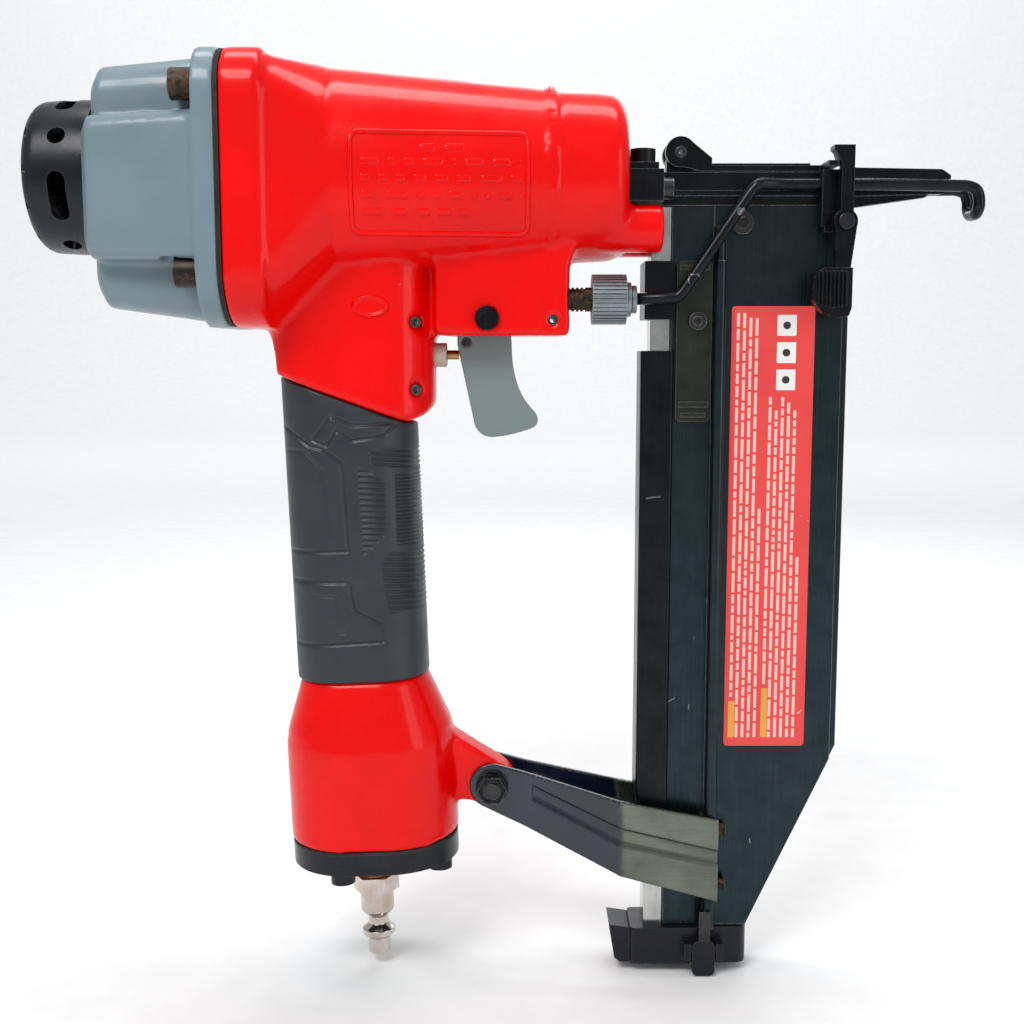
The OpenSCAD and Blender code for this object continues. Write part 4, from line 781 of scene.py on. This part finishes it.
def make_oval():
    """A raised oval rim on the neck's flat side, on a shallow raised pad."""
    middle_x, middle_z = BARREL_FRONT - 84.9 * MM, -43.4 * MM
    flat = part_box("roll_pins")[0].y - 2.5 * MM
    turn = np.linspace(0, 2 * math.pi, 72, endpoint=False)
    size = np.array([0.02, 0.35, 0.55, 0.72, 0.8, 0.88, 0.94, 1.0, 1.04, 1.06])
    rise = np.array([0.25, 0.25, 0.25, 0.3, 0.62, 0.78, 0.7, 0.4, 0.0, -0.4]) * MM
    x = middle_x + size[:, None] * 6.0 * MM * np.cos(turn)
    z = middle_z + size[:, None] * 3.6 * MM * np.sin(turn)
    y = np.broadcast_to((flat - rise)[:, None], x.shape)
    piece = grid_piece("neck_oval", np.stack([x, y, z], -1), RED, wrap_columns=True)
    work = bmesh.new()
    work.from_mesh(piece.data)
    bmesh.ops.holes_fill(work, edges=[e for e in work.edges if e.is_boundary], sides=0)
    work.to_mesh(piece.data)
    work.free()
    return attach(face_outward(piece), "housing")


# ---- Grip ----

LEAN = math.radians(2.2)
GRIP_LEN = 101.0
GRIP_HALF_W, GRIP_HALF_T = 23.0, 18.5


def handle_origin():
    """Top of the handle's middle line, from the plug below and the grip's low edge."""
    low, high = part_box("air_plug")
    middle = (low + high) / 2
    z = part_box("rubber_grip")[0].z + (GRIP_HALF_W * math.sin(LEAN) + GRIP_LEN * math.cos(LEAN)) * MM
    return middle.x - (z - middle.z) * math.tan(LEAN), z


HANDLE_X, HANDLE_Z = handle_origin()


def in_handle(a, y, b):
    """World points of handle places: a forward, y sideways, b up its middle line, in mm."""
    x = HANDLE_X + (a * math.cos(LEAN) - b * math.sin(LEAN)) * MM
    z = HANDLE_Z + (a * math.sin(LEAN) + b * math.cos(LEAN)) * MM
    return np.stack([x, y * MM + 0 * x, z], -1)


def rounded_loop(half_w, half_t, corner, n):
    """n points evenly spaced round a rectangle with round corners, and their outward normals."""
    turn = np.linspace(0, math.pi / 2, 24)
    points = []
    for sx, sy, a in ((1, 1, 0), (-1, 1, 1), (-1, -1, 2), (1, -1, 3)):
        for t in turn + a * math.pi / 2:
            points.append((sx * (half_w - corner) + corner * math.cos(t),
                           sy * (half_t - corner) + corner * math.sin(t), math.cos(t), math.sin(t)))
    points.append(points[0])
    points = np.array(points)
    run = np.concatenate([[0], np.cumsum(np.linalg.norm(np.diff(points[:, :2], axis=0), axis=1))])
    s = np.linspace(0, run[-1], n, endpoint=False)
    loop = np.stack([np.interp(s, run, points[:, k]) for k in range(4)], -1)
    loop[:, 2:] /= np.linalg.norm(loop[:, 2:], axis=1)[:, None]
    return loop[:, :2], loop[:, 2:]


def line_distance(a, b, line, closed=True):
    """Distance of places a, b from a line of straight stretches."""
    line = np.array(line, float)
    ends = np.roll(line, -1, 0) if closed else line[1:]
    starts = line if closed else line[:-1]
    best = np.full(a.shape, 1e9)
    for p, q in zip(starts, ends):
        d = q - p
        t = np.clip(((a - p[0]) * d[0] + (b - p[1]) * d[1]) / (d @ d), 0, 1)
        best = np.minimum(best, np.hypot(a - p[0] - t * d[0], b - p[1] - t * d[1]))
    return best


def inside(a, b, outline):
    """True where a, b lie inside a closed outline, by counting crossings."""
    found = np.zeros(a.shape, bool)
    for (x0, z0), (x1, z1) in zip(outline, outline[1:] + outline[:1]):
        cross = (z0 > b) != (z1 > b)
        edge = x0 + (b - z0) * (x1 - x0) / (z1 - z0 + 1e-12)
        found ^= cross & (a < edge)
    return found


# Moulded lines on each side of the grip, forward and up from the top of the handle, in mm
BOLT = [(-11.4, -17.2), (-4.7, -9.6), (2.8, -12.9), (17.5, -12.6), (13.0, -16.7), (2.2, -17.9),
        (-3.0, -14.4), (-6.6, -19.4)]
LONG_PANEL = [(-24, -11.0), (-12.6, -19.2), (-8.2, -20.4), (-1.9, -25.4), (-1.2, -55.2), (-26, -55.2)]
LONG_INNER = [(-24, -20.5), (-14.0, -21.0), (-8.4, -27.6), (-6.4, -51.1)]
LOW_PANEL = [(-26, -65.2), (-1.4, -66.0), (-0.2, -75.7), (9.4, -81.2), (9.2, -86.8), (-26, -87.7)]
LOW_INNER = [(-14.0, -70.2), (-6.0, -70.6), (-5.4, -76.0), (-3.0, -78.0), (-3.0, -83.2), (-6, -83.4)]
RIB_FIELDS = [
    ([(2.9, -27.0), (6.0, -27.0), (12.6, -31.5), (12.6, -49.6), (4.2, -57.2), (3.4, -57.0)], 1.95, -0.06),
    ([(7.4, -21.0), (30, -21.0), (30, -28.6), (16.5, -28.6), (7.8, -26.6)], 1.7, -0.14),
    ([(15.6, -29.6), (30, -29.6), (30, -54.6), (15.2, -54.6)], 1.25, -0.04),
    ([(12.6, -56.2), (30, -56.2), (30, -77.6), (11.2, -77.6), (9.2, -60.0)], 1.87, -0.12)]


def grip_relief(a, b):
    """Height in mm of the moulded detail at handle places: grooves along the lines, panels
    that stand up a little, and ridges in the rib fields."""
    rise = np.zeros(a.shape)
    for outline in (BOLT, LONG_PANEL, LOW_PANEL):
        d = line_distance(a, b, outline)
        rise -= 0.7 * np.exp(-(d / 0.5) ** 2)
        rise += 0.18 * smooth_step(d / 0.8) * inside(a, b, outline)
    for line in (LONG_INNER, LOW_INNER):
        rise -= 0.45 * np.exp(-(line_distance(a, b, line, False) / 0.38) ** 2)
    for outline, pitch, slope in RIB_FIELDS:
        within = inside(a, b, outline) * smooth_step(line_distance(a, b, outline) / 0.5)
        wave = 0.5 + 0.5 * np.cos(2 * math.pi * (b - slope * a) / pitch)
        rise += within * (0.8 * wave ** 1.4 - 0.55)
    return rise


def make_grip():
    """Rubber sleeve: the grip's outline carried up the handle, cut by the slope at its top,
    with its moulded lines and ribs as relief and its edges rolled in."""
    n_round, n_up = 330, 250
    loop, normal = rounded_loop(GRIP_HALF_W, GRIP_HALF_T, GRIP_HALF_T - 1.5, n_round)
    a, y = loop[:, 0], loop[:, 1]
    world_a = a + 0.3
    top = np.interp(world_a, [-40, 21, 26, 60], [9.8, -12.1, -12.5, -12.5]) - math.sin(LEAN) * a
    up = np.linspace(0, 1, n_up)[:, None]
    b = -GRIP_LEN + (top + GRIP_LEN) * up
    grid_a, grid_y = np.broadcast_to(a, b.shape), np.broadcast_to(y, b.shape)
    flat = smooth_step((np.abs(grid_y) / GRIP_HALF_T - 0.25) / 0.4)
    front = smooth_step((grid_a - 16) / 3)
    relief = grip_relief(grid_a, b) * np.maximum(flat, front * 0.8)
    from_end = np.minimum(b + GRIP_LEN, top - b)
    roll = -0.9 * (1 - np.sqrt(1 - np.clip(1 - from_end / 0.9, 0, 1) ** 2))
    push = relief * smooth_step(from_end / 2.5) + roll
    outer = in_handle(grid_a + push * normal[:, 0], grid_y + push * normal[:, 1], b)
    inner_a, inner_y = a - 2.9 * normal[:, 0], y - 2.9 * normal[:, 1]
    low_lip = in_handle(inner_a, inner_y, np.full(n_round, -GRIP_LEN) + 0.02)[None]
    top_lip = in_handle(inner_a, inner_y, top - 0.3)[None]
    grid = np.concatenate([low_lip, outer, top_lip])
    piece = grid_piece("grip_sleeve", grid, GRIP, wrap_rows=True, wrap_columns=True)
    return stand_for(face_outward(piece), "rubber_grip")


# ---- Arms ----

def make_arm(node):
    """A pressed arm: the CAD strip as an even skin whose groove is deepened. The push is
    inward, and follows a soft bell across the groove's middle line."""
    piece = cast_skin(node, ARM, 0.42, 3)
    low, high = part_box(node)
    p = points_of(piece)
    out = -1 if node == "near_arm" else 1
    lug_x, lug_z = low.x + 8 * MM, high.z - 8 * MM
    run = np.array([14.0, 45.0, 75.0]) * MM + lug_x
    middle = np.interp(p[:, 0], run, lug_z - np.array([1.9, 16.5, 24.2]) * MM)
    half = np.interp(p[:, 0], run, np.array([2.5, 3.1, 2.5]) * MM)
    across = (p[:, 2] - middle) / half
    start = smooth_step((p[:, 0] - lug_x - 12.5 * MM) / (3 * MM))
    p[:, 1] -= out * 0.55 * MM * start * np.exp(-across ** 4 * 1.2)
    set_points(piece, p)
    return stand_for(piece, node)


# ---- Contact wire ----

# Radius of the bar that the wire is bent from
WIRE_R = 2.0 * MM


def make_wire():
    """The bent wire: a round bar along the CAD wire's route, with eased bends."""
    low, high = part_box("contact_wire")
    knob_low, knob_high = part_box("depth_knob")
    r = WIRE_R
    back_y = low.y + r
    x_loop = high.x - r
    z_high = high.z - r
    z_loop = z_high - 9.0 * MM
    heads = x_of_heads()
    front = heads + 65.8 * MM
    guide_y = 9.5 * MM
    loop_y = 5.6 * MM
    z_low = (knob_low.z + knob_high.z) / 2
    path = [(low.x, back_y, z_low), (heads + 6.5 * MM, back_y, z_low + 0.6 * MM),
            (heads + 8.6 * MM, back_y, z_low + 2.2 * MM),
            (heads + 31 * MM, back_y, z_high - 2.6 * MM), (heads + 33.4 * MM, back_y, z_high),
            (front - 24 * MM, -guide_y, z_high), (front + 6 * MM, -guide_y, z_high),
            (x_loop - 4 * MM, -loop_y, z_high), (x_loop - 1 * MM, -loop_y, z_high - 1.2 * MM),
            (x_loop, -loop_y, z_high - 4 * MM), (x_loop, -loop_y, z_loop + 2 * MM),
            (x_loop, -loop_y + 2.4 * MM, z_loop), (x_loop, loop_y - 2.4 * MM, z_loop),
            (x_loop, loop_y, z_loop + 2 * MM), (x_loop, loop_y, z_high - 4 * MM),
            (x_loop - 1 * MM, loop_y, z_high - 1.2 * MM), (x_loop - 4 * MM, loop_y, z_high),
            (front + 6 * MM, guide_y, z_high), (front - 20 * MM, guide_y, z_high)]
    points, faces = tube(eased(path, 4 * MM, 8), r, 32)
    piece = mesh_piece("bent_wire", points, faces, WIRE_STEEL)
    return stand_for(face_outward(piece), "contact_wire")


def x_of_heads():
    """Where the nail heads sit: just in front of the rail's back wall."""
    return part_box("magazine_rail")[0].x + 1.2 * MM


# ---- Label ----

def plate(x0, x1, z0, z1, y0, y1, corner, n=5):
    """Points and faces of a thin plate that faces -Y, with round corners."""
    turn = np.linspace(0, math.pi / 2, n)
    outline = []
    for cx, cz, a in ((x1 - corner, z1 - corner, 0), (x0 + corner, z1 - corner, 1),
                      (x0 + corner, z0 + corner, 2), (x1 - corner, z0 + corner, 3)):
        for t in turn + a * math.pi / 2:
            outline.append((cx + corner * math.cos(t), cz + corner * math.sin(t)))
    m = len(outline)
    near = [(x, y0, z) for x, z in outline]
    far = [(x, y1, z) for x, z in outline]
    faces = [list(range(m)), list(range(2 * m - 1, m - 1, -1))]
    faces += [[k, m + k, m + (k + 1) % m, (k + 1) % m] for k in range(m)]
    return np.array(near + far), faces


def make_label():
    """A red label with plain bars where it would carry print."""
    low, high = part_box("label")
    y = low.y
    points, faces = plate(low.x, high.x, low.z, high.z, y, high.y, 1.2 * MM, 8)
    base = mesh_piece("label_sheet", points, faces, LABEL_RED, smooth=False)
    stand_for(face_outward(base), "label")
    print_y = y - 0.03 * MM

    def bars(name, material, boxes, corner=0.25 * MM):
        made = mesh_piece(name, *joined([plate(*box, print_y, y + 0.01 * MM, corner, 3)
                                         for box in boxes]), material, smooth=False)
        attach(face_outward(made), "housing")

    width, height = high.x - low.x, high.z - low.z

    def at(u0, u1, v0, v1):
        return (low.x + u0 * width, low.x + u1 * width, low.z + v0 * height, low.z + v1 * height)

    rows = [at(0.055, 0.105, 0.115, 0.985), at(0.13, 0.18, 0.02, 0.985), at(0.205, 0.255, 0.02, 0.975),
            at(0.28, 0.33, 0.02, 0.985), at(0.355, 0.405, 0.02, 0.55), at(0.46, 0.51, 0.145, 0.80),
            at(0.535, 0.585, 0.02, 0.77), at(0.61, 0.66, 0.02, 0.80), at(0.685, 0.735, 0.02, 0.79),
            at(0.76, 0.81, 0.02, 0.77), at(0.835, 0.885, 0.02, 0.45)]
    words = []
    for x0, x1, z0, z1 in rows:
        x0, x1 = x0 + 0.2 * MM, x1 - 0.2 * MM
        z = z0
        while z < z1 - 1.2 * MM:
            step = min(rng.uniform(1.6, 7.5) * MM, z1 - z)
            words.append((x0, x1, z, z + step))
            z += step + 0.75 * MM
    bars("label_lines", LABEL_PINK, words, 0.2 * MM)
    squares = [at(0.55, 0.78, v, v + 0.046) for v in (0.815, 0.875, 0.935)]
    bars("label_squares", LABEL_WHITE, squares)
    marks = []
    for x0, x1, z0, z1 in squares:
        cx, cz = (x0 + x1) / 2, (z0 + z1) / 2
        marks.append((cx - 1.3 * MM, cx + 1.3 * MM, cz - 1.3 * MM, cz + 1.3 * MM))
    discs = [plate(*m, print_y - 0.02 * MM, y, 1.25 * MM, 8) for m in marks]
    dots = mesh_piece("label_dots", *joined(discs), LABEL_BLACK, smooth=False)
    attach(face_outward(dots), "housing")
    bars("label_headings", LABEL_AMBER, [at(0.05, 0.13, 0.02, 0.105), at(0.455, 0.535, 0.02, 0.135)])


# ---- The other pieces ----
# CAD nodes that keep their solid: finish, and how far their sharp edges are rounded in mm

SOFTENED = {
    "cap_gasket": (GASKET, 0.1), "cap_screws": (RUSTY, 0.4), "exhaust_deflector": (BLACK_PLASTIC, 0.35),
    "deflector_screw": (DARK_STEEL, 0.3), "cylinder_sleeve": (ALUMINIUM, 0.2),
    "sleeve_rings": (SEAL, 0.1), "piston": (ALUMINIUM, 0.2), "piston_ring": (SEAL, 0.05),
    "driver_blade": (BRIGHT_STEEL, 0.1), "bumper": (BUMPER, 0.3), "head_valve": (ALUMINIUM, 0.2),
    "trigger_valve_body": (WHITE_PLASTIC, 0.3),
    "valve_stem": (BRASS, 0.15), 
    "trigger_pivot_screw": (BLACK_STEEL, 0.3), "trigger_lever": (BRIGHT_STEEL, 0.15),
    "trigger_lever_pin": (DARK_STEEL, 0.15), "roll_pins": (DARK_STEEL, 0.1),
    "depth_stud": (RUSTY, 0.15), "depth_knob": (ZINC, 0.2), "contact_washer": (ZINC, 0.2),
    "nose_body": (BLACK_STEEL, 0.3),
    "nose_screws": (DARK_STEEL, 0.25), "nose_clamp_screws": (BLACK_STEEL, 0.35),
    "nose_door": (BLACK_STEEL, 0.25), "door_pin": (DARK_STEEL, 0.15),
    "wire_guide": (BLACK_STEEL, 0.4), "latch_pin": (DARK_STEEL, 0.2),
    "magazine_channel": (ANODISED, 0.35), "magazine_rail": (BRIGHT_STEEL, 0.3),
    "rail_cover": (BLACK_STEEL, 0.3), "rail_guide": (BLACK_STEEL, 0.3),
    "side_plate_near": (OLIVE, 0.3), "side_plate_far": (OLIVE, 0.3),
    "side_plate_screws": (DARK_STEEL, 0.25), "magazine_screws": (DARK_STEEL, 0.25),
    "nail_pusher": (BRIGHT_STEEL, 0.1), 
    "magazine_cap": (BLACK_PLASTIC, 0.6), "magazine_latch": (BLACK_PLASTIC, 0.4),
    "latch_tongue": (DARK_STEEL, 0.2), 
    "arm_bolt": (DARK_STEEL, 0.3), "arm_nut": (BLACK_STEEL, 0.4), "arm_screws": (RUSTY, 0.2),
    "handle_end_cap": (BLACK_PLASTIC, 0.6), "end_cap_screws": (DARK_STEEL, 0.25),
    "end_cap_gasket": (GASKET, 0.1), "air_plug": (CHROME, 0.2), "plug_seal": (COPPER, 0.2)}


# Each spring, the joint that presses it together, and the world axis it lies along.
SPRINGS = {"head_valve_spring": ("head_valve_lift", 0), "valve_spring": ("valve_stem_push", 0),
           "contact_spring": ("contact_press", 0), "pusher_spring": ("pusher_slide", 2)}


def make_spring(node, along):
    """The CAD coil as a piece with its own mesh, standing for its node."""
    piece = copy_of_node(node + "_piece", node, SPRING_STEEL)
    stand_for(piece, node)
    axis = Vector((0, 0, 0))
    axis[along] = 1
    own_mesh(piece)


def make_pieces():
    make_casting()
    make_panel()
    make_oval()
    make_grip()
    stand_for(cast_skin("cylinder_cap", GREY, 0.85, 5), "cylinder_cap")
    stand_for(cast_skin("trigger", TRIGGER_PAINT, 0.42, 5), "trigger")
    stand_for(cast_skin("latch_lever", BLACK_STEEL, 0.2, 3), "latch_lever")
    for arm in ("near_arm", "far_arm"):
        make_arm(arm)
    make_wire()
    make_label()
    for node, (joint, along) in SPRINGS.items():
        make_spring(node, along)
    for node, (material, edge) in SOFTENED.items():
        softened(node, material, edge)


place_camera()
light_studio()
make_floor(FLOOR)
make_pieces()
